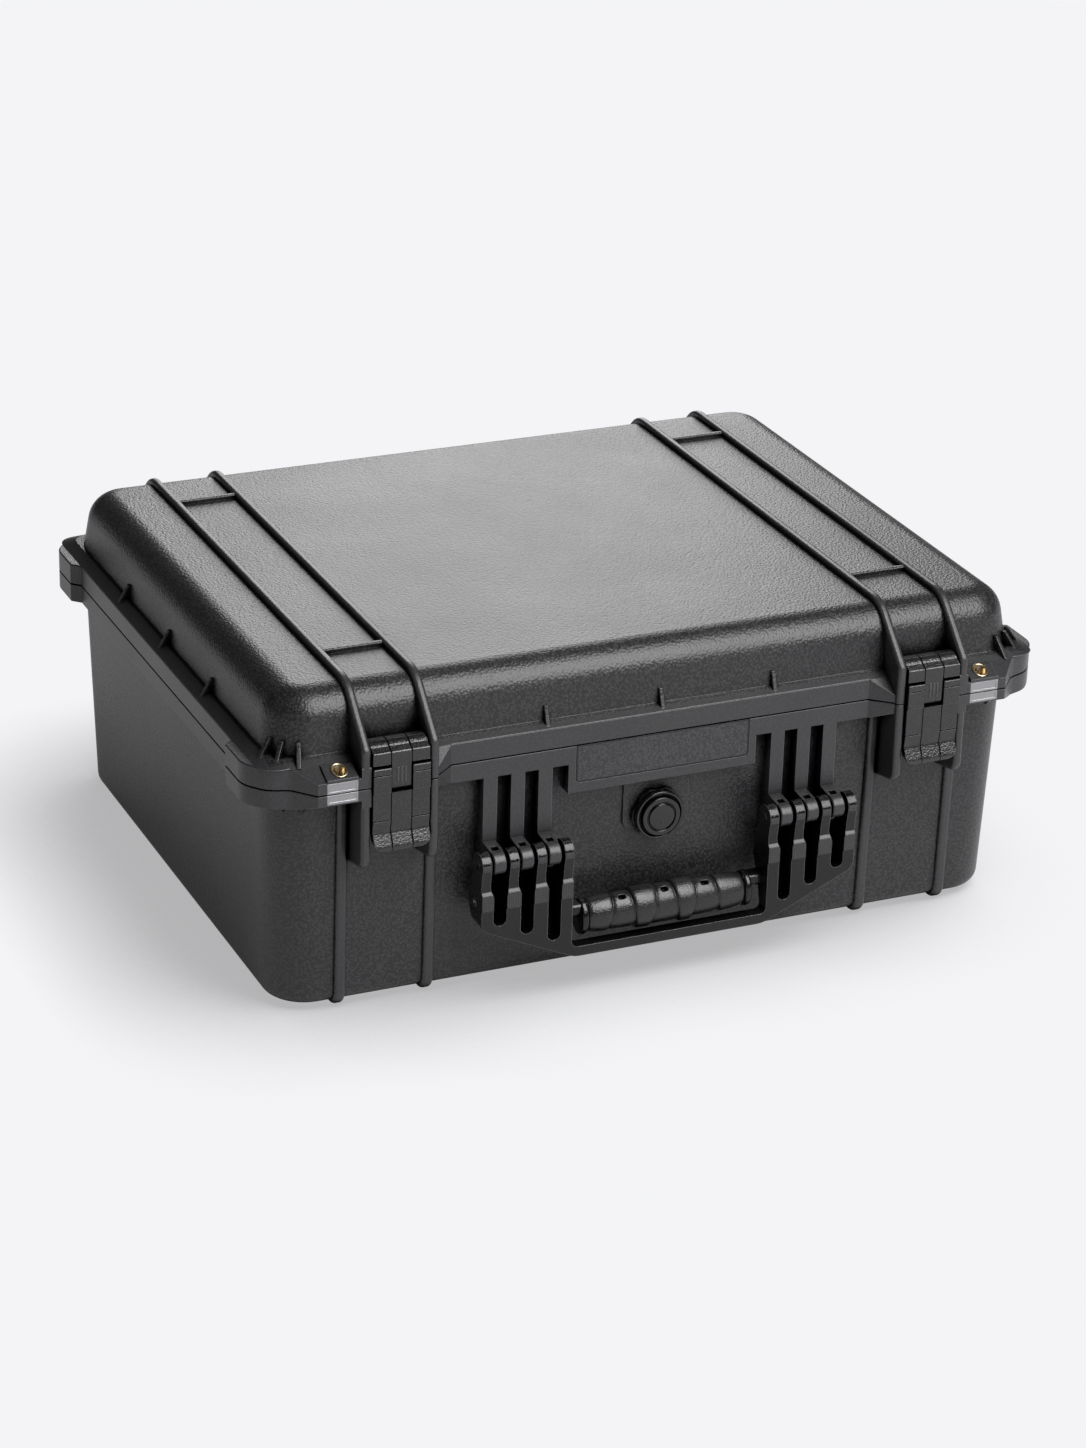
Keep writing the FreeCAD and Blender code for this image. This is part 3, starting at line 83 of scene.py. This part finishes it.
def moulded(name, colours, roughness, ior, grain_mm, grain_depth_mm, edge_mm):
    """Moulded plastic or rubber: two soft tones and a pebble grain, a painted highlight on open edges in a
    third, paler tone, and painted shade in narrow hollows. The grain is drawn coarser than it is, so that it
    shows.
    Returns the material and the nodes that a piece may change."""
    material, tree, shader = new_material(name)
    place = add_node(tree, "ShaderNodeTexCoord", {}, {}).outputs["Object"]

    # Tone: broad, faint clouds, and a speck for each pebble.
    cloud_mm = 60
    clouds = add_node(
        tree, "ShaderNodeTexNoise", {"Scale": 1 / (cloud_mm * MM), "Detail": 4.0}, {"Vector": place})
    tone = add_node(tree, "ShaderNodeValToRGB", {}, {"Fac": clouds.outputs["Fac"]})
    for stop, position, colour in zip(tone.color_ramp.elements, (0.3, 0.7), colours):
        stop.position = position
        stop.color = linear(colour)
    pebbles = add_node(
        tree, "ShaderNodeTexVoronoi",
        {"feature": "SMOOTH_F1", "Scale": 1 / (grain_mm * MM), "Smoothness": 0.6}, {"Vector": place})
    specks = add_node(
        tree, "ShaderNodeMapRange", {"From Min": 0.1, "From Max": 0.6, "To Min": 1.5, "To Max": 0.5},
        {"Value": pebbles.outputs["Distance"]})
    speckled = add_node(
        tree, "ShaderNodeMix", {"data_type": "RGBA", "blend_type": "MULTIPLY", 0: 1.0},
        {6: tone.outputs["Color"], 7: specks.outputs["Result"]})

    # Painted highlight: paler where the surface turns over an edge that lies open.
    edges = add_node(tree, "ShaderNodeBevel", {"samples": 8, "Radius": edge_mm * MM}, {})
    flat = add_node(tree, "ShaderNodeNewGeometry", {}, {})
    turn = add_node(
        tree, "ShaderNodeVectorMath", {"operation": "DOT_PRODUCT"},
        {0: edges.outputs["Normal"], 1: flat.outputs["Normal"]})
    corner = add_node(
        tree, "ShaderNodeMapRange", {"From Min": 0.99, "From Max": 0.8, "To Max": 0.8},
        {"Value": turn.outputs["Value"]})
    open_air = add_node(tree, "ShaderNodeAmbientOcclusion", {"Distance": 12 * MM, "samples": 8}, {})
    outside = add_node(
        tree, "ShaderNodeMapRange", {"From Min": 0.75, "From Max": 0.95}, {"Value": open_air.outputs["AO"]})
    painted_edge_highlight = add_node(
        tree, "ShaderNodeMath", {"operation": "MULTIPLY"},
        {0: corner.outputs["Result"], 1: outside.outputs["Result"]})
    paler = add_node(
        tree, "ShaderNodeMix", {"data_type": "RGBA", 7: linear(colours[2])},
        {0: painted_edge_highlight.outputs[0], 6: speckled.outputs[2]})

    # Painted shade: slots and joints are painted black and lose their gleam.
    painted_hollow_shade = add_node(
        tree, "ShaderNodeMapRange", {"From Min": 0.35, "From Max": 0.75}, {"Value": open_air.outputs["AO"]})
    painted_shaded = add_node(
        tree, "ShaderNodeMix", {"data_type": "RGBA", 6: linear("#020202")},
        {0: painted_hollow_shade.outputs["Result"], 7: paler.outputs[2]})
    gleam = add_node(
        tree, "ShaderNodeMath", {"operation": "MULTIPLY", 1: 0.5}, {0: painted_hollow_shade.outputs["Result"]})

    sheen = add_node(
        tree, "ShaderNodeMapRange",
        {"From Min": 0.3, "From Max": 0.7, "To Min": roughness[0], "To Max": roughness[1]},
        {"Value": clouds.outputs["Fac"]})
    grain = add_node(
        tree, "ShaderNodeBump", {"Distance": grain_depth_mm * MM, "invert": True},
        {"Height": pebbles.outputs["Distance"], "Normal": edges.outputs["Normal"]})
    shader.inputs["IOR"].default_value = ior
    tree.links.new(gleam.outputs[0], shader.inputs["Specular IOR Level"])
    tree.links.new(painted_shaded.outputs[2], shader.inputs["Base Color"])
    tree.links.new(sheen.outputs["Result"], shader.inputs["Roughness"])
    tree.links.new(grain.outputs["Normal"], shader.inputs["Normal"])
    return material, {"tree": tree, "shader": shader, "place": place, "specks": specks, "grain": grain,
                      "gleam": gleam}


# Etched polypropylene has a soft, broken sheen. The grain is drawn at 1.6 mm, about twice the real one,
# so that it shows at this distance.
pebbled, finish = moulded(
    "pebbled_polypropylene", ("#242426", "#282829", "#6a6a6c"), roughness=(0.37, 0.40), ior=1.49,
    grain_mm=1.6, grain_depth_mm=0.22, edge_mm=0.6)
tree, place = finish["tree"], finish["place"]
axes = add_node(tree, "ShaderNodeSeparateXYZ", {}, {"Vector": place})
across = add_node(tree, "ShaderNodeMath", {"operation": "ABSOLUTE"}, {0: axes.outputs["X"]})
along = add_node(tree, "ShaderNodeMath", {"operation": "ABSOLUTE"}, {0: axes.outputs["Y"]})

# Smooth by place: first the flange, which is all that lies beyond the walls.
wall_x, wall_y = 252.3 * MM, 194.8 * MM
flange_ends = add_node(
    tree, "ShaderNodeMath", {"operation": "GREATER_THAN", 1: wall_x}, {0: across.outputs[0]})
flange_sides = add_node(
    tree, "ShaderNodeMath", {"operation": "GREATER_THAN", 1: wall_y}, {0: along.outputs[0]})
smooth = add_node(
    tree, "ShaderNodeMath", {"operation": "MAXIMUM"}, {0: flange_ends.outputs[0], 1: flange_sides.outputs[0]})

# Then the ribs, on the lid above the joint and on the base under it, and only on the outside, where the
# surface faces away from the middle of the case.
joint_z = 155.5 * MM
case_middle = (0, 0, 106 * MM)
least_outward = -5 * MM
on_lid = add_node(tree, "ShaderNodeMath", {"operation": "GREATER_THAN", 1: joint_z}, {0: axes.outputs["Z"]})
on_base = add_node(tree, "ShaderNodeMath", {"operation": "LESS_THAN", 1: joint_z}, {0: axes.outputs["Z"]})
from_middle = add_node(tree, "ShaderNodeVectorMath", {"operation": "SUBTRACT", 1: case_middle}, {0: place})
facing = add_node(
    tree, "ShaderNodeVectorMath", {"operation": "MULTIPLY", 1: (0, 1, 1)}, {0: place.node.outputs["Normal"]})
outward = add_node(
    tree, "ShaderNodeVectorMath", {"operation": "DOT_PRODUCT"},
    {0: from_middle.outputs["Vector"], 1: facing.outputs["Vector"]})
outer = add_node(
    tree, "ShaderNodeMath", {"operation": "GREATER_THAN", 1: least_outward}, {0: outward.outputs["Value"]})
for rib_x_mm, rib_half_mm, shell in (
        (155.6, 2.6, on_lid), (198.8, 2.6, on_lid), (148.5, 3.0, on_base), (205.9, 3.0, on_base)):
    rib = add_node(
        tree, "ShaderNodeMath", {"operation": "COMPARE", 1: rib_x_mm * MM, 2: rib_half_mm * MM},
        {0: across.outputs[0]})
    for limit in (shell, outer):
        rib = add_node(
            tree, "ShaderNodeMath", {"operation": "MULTIPLY"}, {0: rib.outputs[0], 1: limit.outputs[0]})
    smooth = add_node(
        tree, "ShaderNodeMath", {"operation": "MAXIMUM"}, {0: smooth.outputs[0], 1: rib.outputs[0]})
# The smooth parts get a shallower grain, and lighter specks that paint them paler, a painted sheen.
for socket, pebbled_value, smooth_value in (
        (finish["grain"].inputs["Strength"], 1.0, 0.35),
        (finish["specks"].inputs["To Min"], 1.6, 1.6),
        (finish["specks"].inputs["To Max"], 0.4, 1.1)):
    share = add_node(
        tree, "ShaderNodeMapRange", {"To Min": pebbled_value, "To Max": smooth_value},
        {"Value": smooth.outputs[0]})
    tree.links.new(share.outputs["Result"], socket)
give_finish(pebbled, "base_shell", "lid_shell")

# Name plate: a bare blank of the same polypropylene, let into the front of the base. The joint round it
# is a painted shadow line, drawn about twice as wide as the joint is so that it shows.
plate_blank, finish = moulded(
    "plate_polypropylene", ("#303032", "#343436", "#5a5a5c"), roughness=(0.36, 0.40), ior=1.49,
    grain_mm=1.2, grain_depth_mm=0.12, edge_mm=0.4)
tree, shader = finish["tree"], finish["shader"]
axes = add_node(tree, "ShaderNodeSeparateXYZ", {}, {"Vector": finish["place"]})
low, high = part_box("name_plate")
within = []
for axis, name, joint_mm in ((0, "X", 1.0), (2, "Z", 0.8)):
    middle, half = (low[axis] + high[axis]) / 2, (high[axis] - low[axis]) / 2 - joint_mm * MM
    within.append(add_node(
        tree, "ShaderNodeMath", {"operation": "COMPARE", 1: middle, 2: half}, {0: axes.outputs[name]}))
plate_face = add_node(
    tree, "ShaderNodeMath", {"operation": "MULTIPLY"}, {0: within[0].outputs[0], 1: within[1].outputs[0]})
# Painted shadow: the plate's border, where it meets the recess, is painted near black.
painted_joint_shadow = add_node(
    tree, "ShaderNodeMix", {"data_type": "RGBA", 6: linear("#060606")},
    {0: plate_face.outputs[0], 7: shader.inputs["Base Color"].links[0].from_socket})
tree.links.new(painted_joint_shadow.outputs[2], shader.inputs["Base Color"])
give_finish(plate_blank, "name_plate")

# Seals: the black elastomer ring in the lid's groove and the valve's gasket, moulded, dull and smooth.
# They are held by the groove and by the valve's flange.
elastomer, _ = moulded(
    "seal_elastomer", ("#121212", "#161616", "#202020"), roughness=(0.6, 0.7), ior=1.52,
    grain_mm=0.6, grain_depth_mm=0.05, edge_mm=0.3)
give_finish(elastomer, "lid_seal", "valve_gasket")

# Pins: ground stainless rods of the hinges, the latches and the handle, with a soft, streaked gleam.
# They are pressed into the plastic, so that only their ends show.


def ground_metal(name, colour, roughness, line_mm, along):
    """Ground or turned metal, whose fine tool lines run along one axis. The lines are drawn coarser than
    they are, so that they show, and fifty times as long as they are wide."""
    material, tree, shader = new_material(name)
    place = add_node(tree, "ShaderNodeTexCoord", {}, {}).outputs["Object"]
    stretch = [1.0, 1.0, 1.0]
    stretch[along] = 1 / 50
    drawn_out = add_node(tree, "ShaderNodeMapping", {"Scale": stretch}, {"Vector": place})
    lines = add_node(
        tree, "ShaderNodeTexNoise", {"Scale": 1 / (line_mm * MM), "Detail": 2.0},
        {"Vector": drawn_out.outputs["Vector"]})
    gloss = add_node(
        tree, "ShaderNodeMapRange", {"To Min": roughness[0], "To Max": roughness[1]},
        {"Value": lines.outputs["Fac"]})
    edges = add_node(tree, "ShaderNodeBevel", {"samples": 4, "Radius": 0.3 * MM}, {})
    scratch = add_node(
        tree, "ShaderNodeBump", {"Distance": 0.02 * MM},
        {"Height": lines.outputs["Fac"], "Normal": edges.outputs["Normal"]})
    shader.inputs["Metallic"].default_value = 1.0
    shader.inputs["Base Color"].default_value = linear(colour)
    tree.links.new(gloss.outputs["Result"], shader.inputs["Roughness"])
    tree.links.new(scratch.outputs["Normal"], shader.inputs["Normal"])
    return material


pin_steel = ground_metal("pin_steel", "#8f8f90", roughness=(0.25, 0.4), line_mm=0.4, along=0)
for side in ("left", "right"):
    for pin in ("_hinge_pin", "_latch_lid_pin", "_latch_lever_pin", "_handle_pin"):
        give_finish(pin_steel, side + pin)

# Handle screws: two short stainless screws, driven into the handle's outer cheeks to hold the pins.
# Each has a rounded head with a round drive socket.


def start_piece(name):
    """Name the primitive that was just added and put its place in its mesh."""
    piece = bpy.context.object
    piece.name = name
    bpy.ops.object.transform_apply()
    return piece


def pick(piece, kind, wanted):
    """In edit mode, select only the vertices or the polygons that pass a test."""
    bpy.ops.object.mode_set(mode="OBJECT")
    bpy.context.tool_settings.mesh_select_mode = (kind == "vertices", False, kind == "polygons")
    mesh = piece.data
    for elements in (mesh.vertices, mesh.edges, mesh.polygons):
        elements.foreach_set("select", [False] * len(elements))
    for element in getattr(mesh, kind):
        element.select = wanted(element)
    bpy.ops.object.mode_set(mode="EDIT")


def push(x_mm, y_mm, z_mm):
    """Extrude the selected faces by a distance."""
    bpy.ops.mesh.extrude_region_move(TRANSFORM_OT_translate={"value": (x_mm * MM, y_mm * MM, z_mm * MM)})


def round_edges(piece, width_mm, segments):
    """Leave edit mode and round every sharp edge."""
    bpy.ops.object.mode_set(mode="OBJECT")
    rounding = piece.modifiers.new("rounding", "BEVEL")
    rounding.width = width_mm * MM
    rounding.segments = segments
    rounding.limit_method = "ANGLE"
    rounding.angle_limit = math.radians(40)
    bpy.ops.object.modifier_apply(modifier="rounding")
    bpy.ops.object.shade_smooth_by_angle(angle=math.radians(40))


low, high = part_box("handle_screws")
screw_length = 4.6 * MM
screw_rim = 1.1 * MM
socket_depth_mm = 1.2
for name, outward, tip in (("left_handle_screw", -1, low[0]), ("right_handle_screw", 1, high[0])):
    bpy.ops.object.select_all(action="DESELECT")
    bpy.ops.mesh.primitive_cylinder_add(
        vertices=32, radius=(high[2] - low[2]) / 2, depth=screw_length, rotation=(0, math.pi / 2, 0),
        location=(tip - outward * screw_length / 2, (low[1] + high[1]) / 2, (low[2] + high[2]) / 2))
    screw = start_piece(name)
    pick(screw, "polygons", lambda face: face.normal.x * outward > 0.9)
    bpy.ops.mesh.inset(thickness=screw_rim)
    push(-outward * socket_depth_mm, 0, 0)
    round_edges(screw, width_mm=0.4, segments=3)
    screw.data.materials.append(pin_steel)
    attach(screw, "handle")
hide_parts("handle_screws")

# Padlock eyes: bent stainless plates let into the rims, brushed along their length, which streaks their
# gleam. A turned brass eyelet lines each hole with a warm glint. In the lid it comes up through the
# sloping pad and is rolled over on it.
plate_steel = ground_metal("plate_steel", "#98989a", roughness=(0.24, 0.42), line_mm=0.5, along=0)
sleeve_brass = ground_metal("sleeve_brass", "#b9a88a", roughness=(0.22, 0.32), line_mm=0.5, along=2)
pad_z = 167.75 * MM
pad_normal = (0, -0.405, 0.914)
tube_radius, tube_length = 4.05 * MM, 20 * MM
# Steps of the roll: how far the rim spreads, and how far it rises from the pad in mm, and which way.
roll = ((1.06, 0.18), (1.1, 0.04), (1.1, -0.22))
roll_way = (0, -0.4, 0.9)
for side in ("left", "right"):
    give_finish(plate_steel, side + "_lid_padlock_plate", side + "_base_padlock_plate")
    give_finish(sleeve_brass, side + "_base_padlock_sleeve")
    low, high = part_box(side + "_lid_padlock_sleeve")
    hole = ((low[0] + high[0]) / 2, (low[1] + high[1]) / 2, pad_z)
    bpy.ops.object.select_all(action="DESELECT")
    bpy.ops.mesh.primitive_cylinder_add(
        vertices=64, radius=tube_radius, depth=tube_length, end_fill_type="NOTHING",
        location=(hole[0], hole[1], low[2] + tube_length / 2))
    eyelet = start_piece(side + "_lid_eyelet")
    bpy.ops.object.mode_set(mode="EDIT")
    bpy.ops.mesh.select_all(action="SELECT")
    bpy.ops.mesh.bisect(plane_co=hole, plane_no=pad_normal, clear_outer=True)
    for spread, rise_mm in roll:
        bpy.ops.mesh.extrude_edges_move(
            TRANSFORM_OT_translate={"value": [part * rise_mm * MM for part in roll_way]})
        bpy.ops.transform.resize(value=(spread, spread, spread), center_override=hole)
    bpy.ops.mesh.select_all(action="SELECT")
    bpy.ops.mesh.normals_make_consistent(inside=False)
    bpy.ops.object.mode_set(mode="OBJECT")
    wall = eyelet.modifiers.new("wall", "SOLIDIFY")
    wall.thickness = 0.3 * MM
    wall.offset = 0.0
    bpy.ops.object.modifier_apply(modifier="wall")
    bpy.ops.object.shade_smooth_by_angle(angle=math.radians(50))
    eyelet.data.materials.append(sleeve_brass)
    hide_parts(side + "_lid_padlock_sleeve")
    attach(eyelet, "lid")

# Latches: a link that turns on the lid's ears and a lever that turns on the link, moulded in glass-filled
# nylon. They are smoother than the shells, and their edges carry a painted highlight in a pale tone.
latch_nylon, _ = moulded(
    "latch_nylon", ("#1c1c1d", "#202021", "#848486"), roughness=(0.22, 0.28), ior=1.53,
    grain_mm=1.2, grain_depth_mm=0.10, edge_mm=0.5)
for side in ("left", "right"):
    give_finish(latch_nylon, side + "_latch_link", side + "_latch_lever")

# Handle frame: moulded in glass-filled nylon with a semi-gloss skin, and hung on its pins. The raised
# knees of the arms are stippled, so they are duller, and a painted sheen makes them paler.
handle_nylon, finish = moulded(
    "handle_nylon", ("#101011", "#141415", "#6a6a6c"), roughness=(0.16, 0.22), ior=1.53,
    grain_mm=1.2, grain_depth_mm=0.08, edge_mm=0.7)
finish["gleam"].inputs[1].default_value = 0.33
tree, shader, place = finish["tree"], finish["shader"], finish["place"]
knee_y = -218.2 * MM
stud_mm = 1.5
axes = add_node(tree, "ShaderNodeSeparateXYZ", {}, {"Vector": place})
knees = add_node(tree, "ShaderNodeMath", {"operation": "LESS_THAN", 1: knee_y}, {0: axes.outputs["Y"]})
studs = add_node(
    tree, "ShaderNodeTexVoronoi", {"Scale": 1 / (stud_mm * MM), "Randomness": 0.0}, {"Vector": place})
stipple = add_node(
    tree, "ShaderNodeBump", {"Distance": 0.6 * MM, "invert": True},
    {"Strength": knees.outputs[0], "Height": studs.outputs["Distance"],
     "Normal": finish["grain"].outputs["Normal"]})
# Painted sheen: the knees get a paler tone in place of the glints of their studs.
painted_stipple_sheen = add_node(
    tree, "ShaderNodeMix", {"data_type": "RGBA", 7: linear("#303031")},
    {0: knees.outputs[0], 6: shader.inputs["Base Color"].links[0].from_socket})
dull = add_node(
    tree, "ShaderNodeMath", {"operation": "MULTIPLY_ADD", 1: 0.25},
    {0: knees.outputs[0], 2: shader.inputs["Roughness"].links[0].from_socket})
tree.links.new(painted_stipple_sheen.outputs[2], shader.inputs["Base Color"])
tree.links.new(dull.outputs[0], shader.inputs["Roughness"])
tree.links.new(stipple.outputs["Normal"], shader.inputs["Normal"])
give_finish(handle_nylon, "handle_frame")

# Grip: soft rubber with a satin skin, moulded over the handle's bar. It is a barrel of bands that lap over
# one another for the fingers, drawn in towards both ends. Three of the bands have a small window on top.
grip_rubber, _ = moulded(
    "grip_rubber", ("#161617", "#1a1a1b", "#3c3c3e"), roughness=(0.28, 0.36), ior=1.52,
    grain_mm=1.0, grain_depth_mm=0.12, edge_mm=0.5)
low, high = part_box("handle_grip")
grip_middle = [(a + b) / 2 for a, b in zip(low, high)]
grip_half, grip_deep, grip_tall = [(b - a) / 2 for a, b in zip(low, high)]
bpy.ops.object.select_all(action="DESELECT")
bpy.ops.mesh.primitive_cylinder_add(
    vertices=48, radius=grip_tall, depth=2 * grip_half, location=grip_middle, rotation=(0, math.pi / 2, 0))
grip = start_piece("banded_grip")

# Each seam: where it is as a share of the half length, and how it leans. Each band between two seams: how
# far it lies under the proudest one in mm. Each ring of a band: its share of the band, a step from there
# and its dip in mm, so that the band ends in a narrow groove.
seams = ((-1.0, 0.0), (-0.71, 0.12), (-0.42, -0.1), (-0.17, 0.14), (0.12, -0.12), (0.34, 0.12),
         (0.65, -0.1), (1.0, 0.0))
bands = (0.9, 1.6, 0.2, 1.1, 0.0, 1.6, 0.9)
band_rings = ((0.0, 0.2, 1.0), (0.0, 0.9, 0.1), (0.3, 0, 0.0), (0.7, 0, 0.0), (1.0, -0.9, 0.1),
              (1.0, -0.2, 1.0))
end_taper_mm = 2.0
end_under_mm = 4.6
end_rings = [(low[0], 0.0, end_under_mm), (high[0], 0.0, end_under_mm)]
ring_reach = 0.05 * MM
rings = []
for (first, first_lean), (last, last_lean), band_under in zip(seams, seams[1:], bands):
    first, last = (grip_middle[0] + share * grip_half for share in (first, last))
    for share, step_mm, dip in band_rings:
        x = first + share * (last - first) + step_mm * MM
        taper = end_taper_mm * abs((x - grip_middle[0]) / grip_half) ** 4
        rings.append((x, first_lean + share * (last_lean - first_lean), band_under + dip + taper))
bpy.ops.object.mode_set(mode="EDIT")
for x, lean, under in rings:
    bpy.ops.mesh.select_all(action="SELECT")
    bpy.ops.mesh.bisect(plane_co=(x, grip_middle[1], grip_middle[2]), plane_no=(1, 0, -lean))
for x, lean, under in rings + end_rings:
    pick(grip, "vertices",
         lambda vertex: abs(vertex.co.x - x - lean * (vertex.co.z - grip_middle[2])) < ring_reach)
    deep = grip_deep / grip_tall * (1 - under * MM / grip_deep)
    bpy.ops.transform.resize(value=(1, deep, 1 - under * MM / grip_tall), center_override=grip_middle)

# Windows: where each is as a share of the half length, half its width, its rim and how it is sunk.
windows = (-0.565, -0.025, 0.495)
window_half = 2.4 * MM
window_rim = 0.5 * MM
window_sink_mm = (0, 1.6, -2.6)
for share in windows:
    window_x = grip_middle[0] + share * grip_half
    pick(grip, "polygons", lambda face: (abs(face.center.x - window_x) < window_half and face.normal.y < 0
                                         and 0.72 < face.normal.z < 0.97))
    bpy.ops.mesh.inset(thickness=window_rim)
    push(*window_sink_mm)
bpy.ops.object.mode_set(mode="OBJECT")
softening = grip.modifiers.new("softening", "SUBSURF")
softening.levels = softening.render_levels = 1
bpy.ops.object.modifier_apply(modifier="softening")
bpy.ops.object.shade_smooth()
grip.data.materials.append(grip_rubber)
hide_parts("handle_grip")
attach(grip, "handle")

# Grip collars: a rounded oval flange of the handle's nylon at each end of the grip, moulded on the bar
# so that the rubber butts against it.
collar_width, collar_radius = 4.6 * MM, 11.9 * MM
collar_oval = 0.8
collar_rim = 2.4 * MM
for name, outward in (("left_grip_collar", -1), ("right_grip_collar", 1)):
    collar_x = grip_middle[0] + outward * (grip_half + collar_width / 2)
    collar_middle = (collar_x, grip_middle[1], grip_middle[2])
    bpy.ops.object.select_all(action="DESELECT")
    bpy.ops.mesh.primitive_cylinder_add(
        vertices=48, radius=collar_radius, depth=collar_width, location=collar_middle,
        rotation=(0, math.pi / 2, 0))
    collar = start_piece(name)
    bpy.ops.object.mode_set(mode="EDIT")
    bpy.ops.mesh.select_all(action="SELECT")
    bpy.ops.transform.resize(value=(1, collar_oval, 1), center_override=collar_middle)
    pick(collar, "polygons", lambda face: abs(face.normal.x) > 0.9)
    bpy.ops.mesh.inset(thickness=collar_rim)
    round_edges(collar, width_mm=1.5, segments=4)
    collar.data.materials.append(handle_nylon)
    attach(collar, "handle")

# Valve: moulded in gloss nylon. A flange and a nut clamp the wall, and a round knob screws out to let
# the pressure even out. The knob has a groove round a raised middle, and the mould's gate mark under
# its centre.
valve_nylon, _ = moulded(
    "valve_nylon", ("#0a0a0b", "#0d0d0e", "#4c4c4e"), roughness=(0.14, 0.20), ior=1.53,
    grain_mm=1.0, grain_depth_mm=0.05, edge_mm=0.4)
give_finish(valve_nylon, "valve_body", "valve_nut")
low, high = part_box("valve_knob")
knob_x, knob_z = (low[0] + high[0]) / 2, (low[2] + high[2]) / 2
ring_radius, ring_depth = 15.8 * MM, 3.4 * MM
# Steps of the knob's face from its rim inwards: how wide each is, and how far it rises in mm.
face_steps = ((1.7, -1.8), (1.5, 3.8), (3.0, -1.0), (1.2, 1.4))
gate_inset, gate_drop, gate_rise_mm = 7.0 * MM, 3.5 * MM, 0.3
bpy.ops.object.select_all(action="DESELECT")
bpy.ops.mesh.primitive_cylinder_add(
    vertices=64, radius=ring_radius, depth=ring_depth, rotation=(math.pi / 2, 0, 0),
    location=(knob_x, high[1] - ring_depth / 2, knob_z))
knob = start_piece("grooved_valve_knob")
pick(knob, "polygons", lambda face: face.normal.y < -0.9)
for width_mm, rise_mm in face_steps:
    bpy.ops.mesh.inset(thickness=width_mm * MM)
    push(0, -rise_mm, 0)
round_edges(knob, width_mm=0.45, segments=3)
pick(knob, "polygons", lambda face: (face.normal.y < -0.9
                                     and abs(face.center.x - knob_x) + abs(face.center.z - knob_z) < MM))
bpy.ops.mesh.inset(thickness=gate_inset)
bpy.ops.transform.translate(value=(0, 0, -gate_drop))
push(0, -gate_rise_mm, 0)
bpy.ops.object.mode_set(mode="OBJECT")
bpy.ops.object.shade_smooth_by_angle(angle=math.radians(40))
knob.data.materials.append(valve_nylon)
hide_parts("valve_knob")
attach(knob, "valve_knob")

# Floor: pale seamless paper. The camera sees it near white, with a painted shadow round the case, deepest on
# its left. The case sees it as a lit grey, and in reflections partly as that white, so that the black plastic
# keeps its depth.
bpy.ops.mesh.primitive_plane_add(size=14.0, location=(0, 0, 0))
floor = bpy.context.object
floor.name = "floor"
floor_paper, tree, shader = new_material("floor_paper")
shader.inputs["Base Color"].default_value = linear("#e8e8ea")
shader.inputs["Roughness"].default_value = 0.9
# Painted shadow: occlusion taken round a normal that leans right and to the front darkens the white.
painted_shadow_lean = add_node(tree, "ShaderNodeCombineXYZ", {"X": 0.5, "Y": -0.25, "Z": 0.83}, {})
covered = add_node(
    tree, "ShaderNodeAmbientOcclusion", {"Distance": 130 * MM, "samples": 16},
    {"Normal": painted_shadow_lean.outputs[0]})
painted_floor_shadow = add_node(
    tree, "ShaderNodeMapRange", {"From Min": 0.45, "From Max": 0.97, "To Min": 0.5, "To Max": 1.0},
    {"Value": covered.outputs["AO"]})
white = add_node(
    tree, "ShaderNodeEmission", {"Color": linear("#f4f4f6")}, {"Strength": painted_floor_shadow.outputs["Result"]})
seen = add_node(tree, "ShaderNodeLightPath", {}, {})
mirrored = add_node(
    tree, "ShaderNodeMath", {"operation": "MULTIPLY_ADD", 1: 0.4},
    {0: seen.outputs["Is Glossy Ray"], 2: seen.outputs["Is Camera Ray"]})
bare = add_node(
    tree, "ShaderNodeMath", {"operation": "MAXIMUM"},
    {0: mirrored.outputs[0], 1: seen.outputs["Is Transmission Ray"]})
mix = add_node(
    tree, "ShaderNodeMixShader", {}, {0: bare.outputs[0], 1: shader.outputs[0], 2: white.outputs[0]})
tree.links.new(mix.outputs[0], tree.nodes["Material Output"].inputs["Surface"])
floor.data.materials.append(floor_paper)

# Light: a large window behind the lid, which gives its long sheen, a soft box in front and one above.
# The room itself adds very little.
world = bpy.data.worlds.new("studio")
bpy.context.scene.world = world
world.use_nodes = True
world.node_tree.nodes["Background"].inputs["Color"].default_value = linear("#f4f4f6")
world.node_tree.nodes["Background"].inputs["Strength"].default_value = 0.08
for name, size, place, aim, watts in (
        ("back_window", (1.3, 2.2), (1.24, 2.99, 1.6), (0, 0, 0.15), 39),
        ("front_box", (1.8, 1.6), (0.9, -2.0, 1.8), (0, 0, 0.1), 82),
        ("top_box", (1.4, 0.7), (0.75, -1.0, 2.3), (0, 0, 0.15), 30)):
    bpy.ops.object.light_add(type="AREA", location=place)
    lamp = bpy.context.object
    lamp.name = name
    lamp.data.shape = "RECTANGLE"
    lamp.data.size, lamp.data.size_y = size
    lamp.data.energy = watts
    away = Vector(place) - Vector(aim)
    lamp.rotation_euler = away.to_track_quat("Z", "Y").to_euler()

# Camera: at the photograph's viewing angle, on a long lens.
bpy.ops.object.camera_add(location=(-0.97209, -2.18576, 1.14397),
                          rotation=[math.radians(angle) for angle in (65.965, -1.415, -23.535)])
camera = bpy.context.object
camera.data.sensor_fit = "VERTICAL"
camera.data.sensor_height = 36.0
camera.data.lens = 99.2
bpy.context.scene.camera = camera
bpy.context.scene.view_settings.view_transform = "Standard"
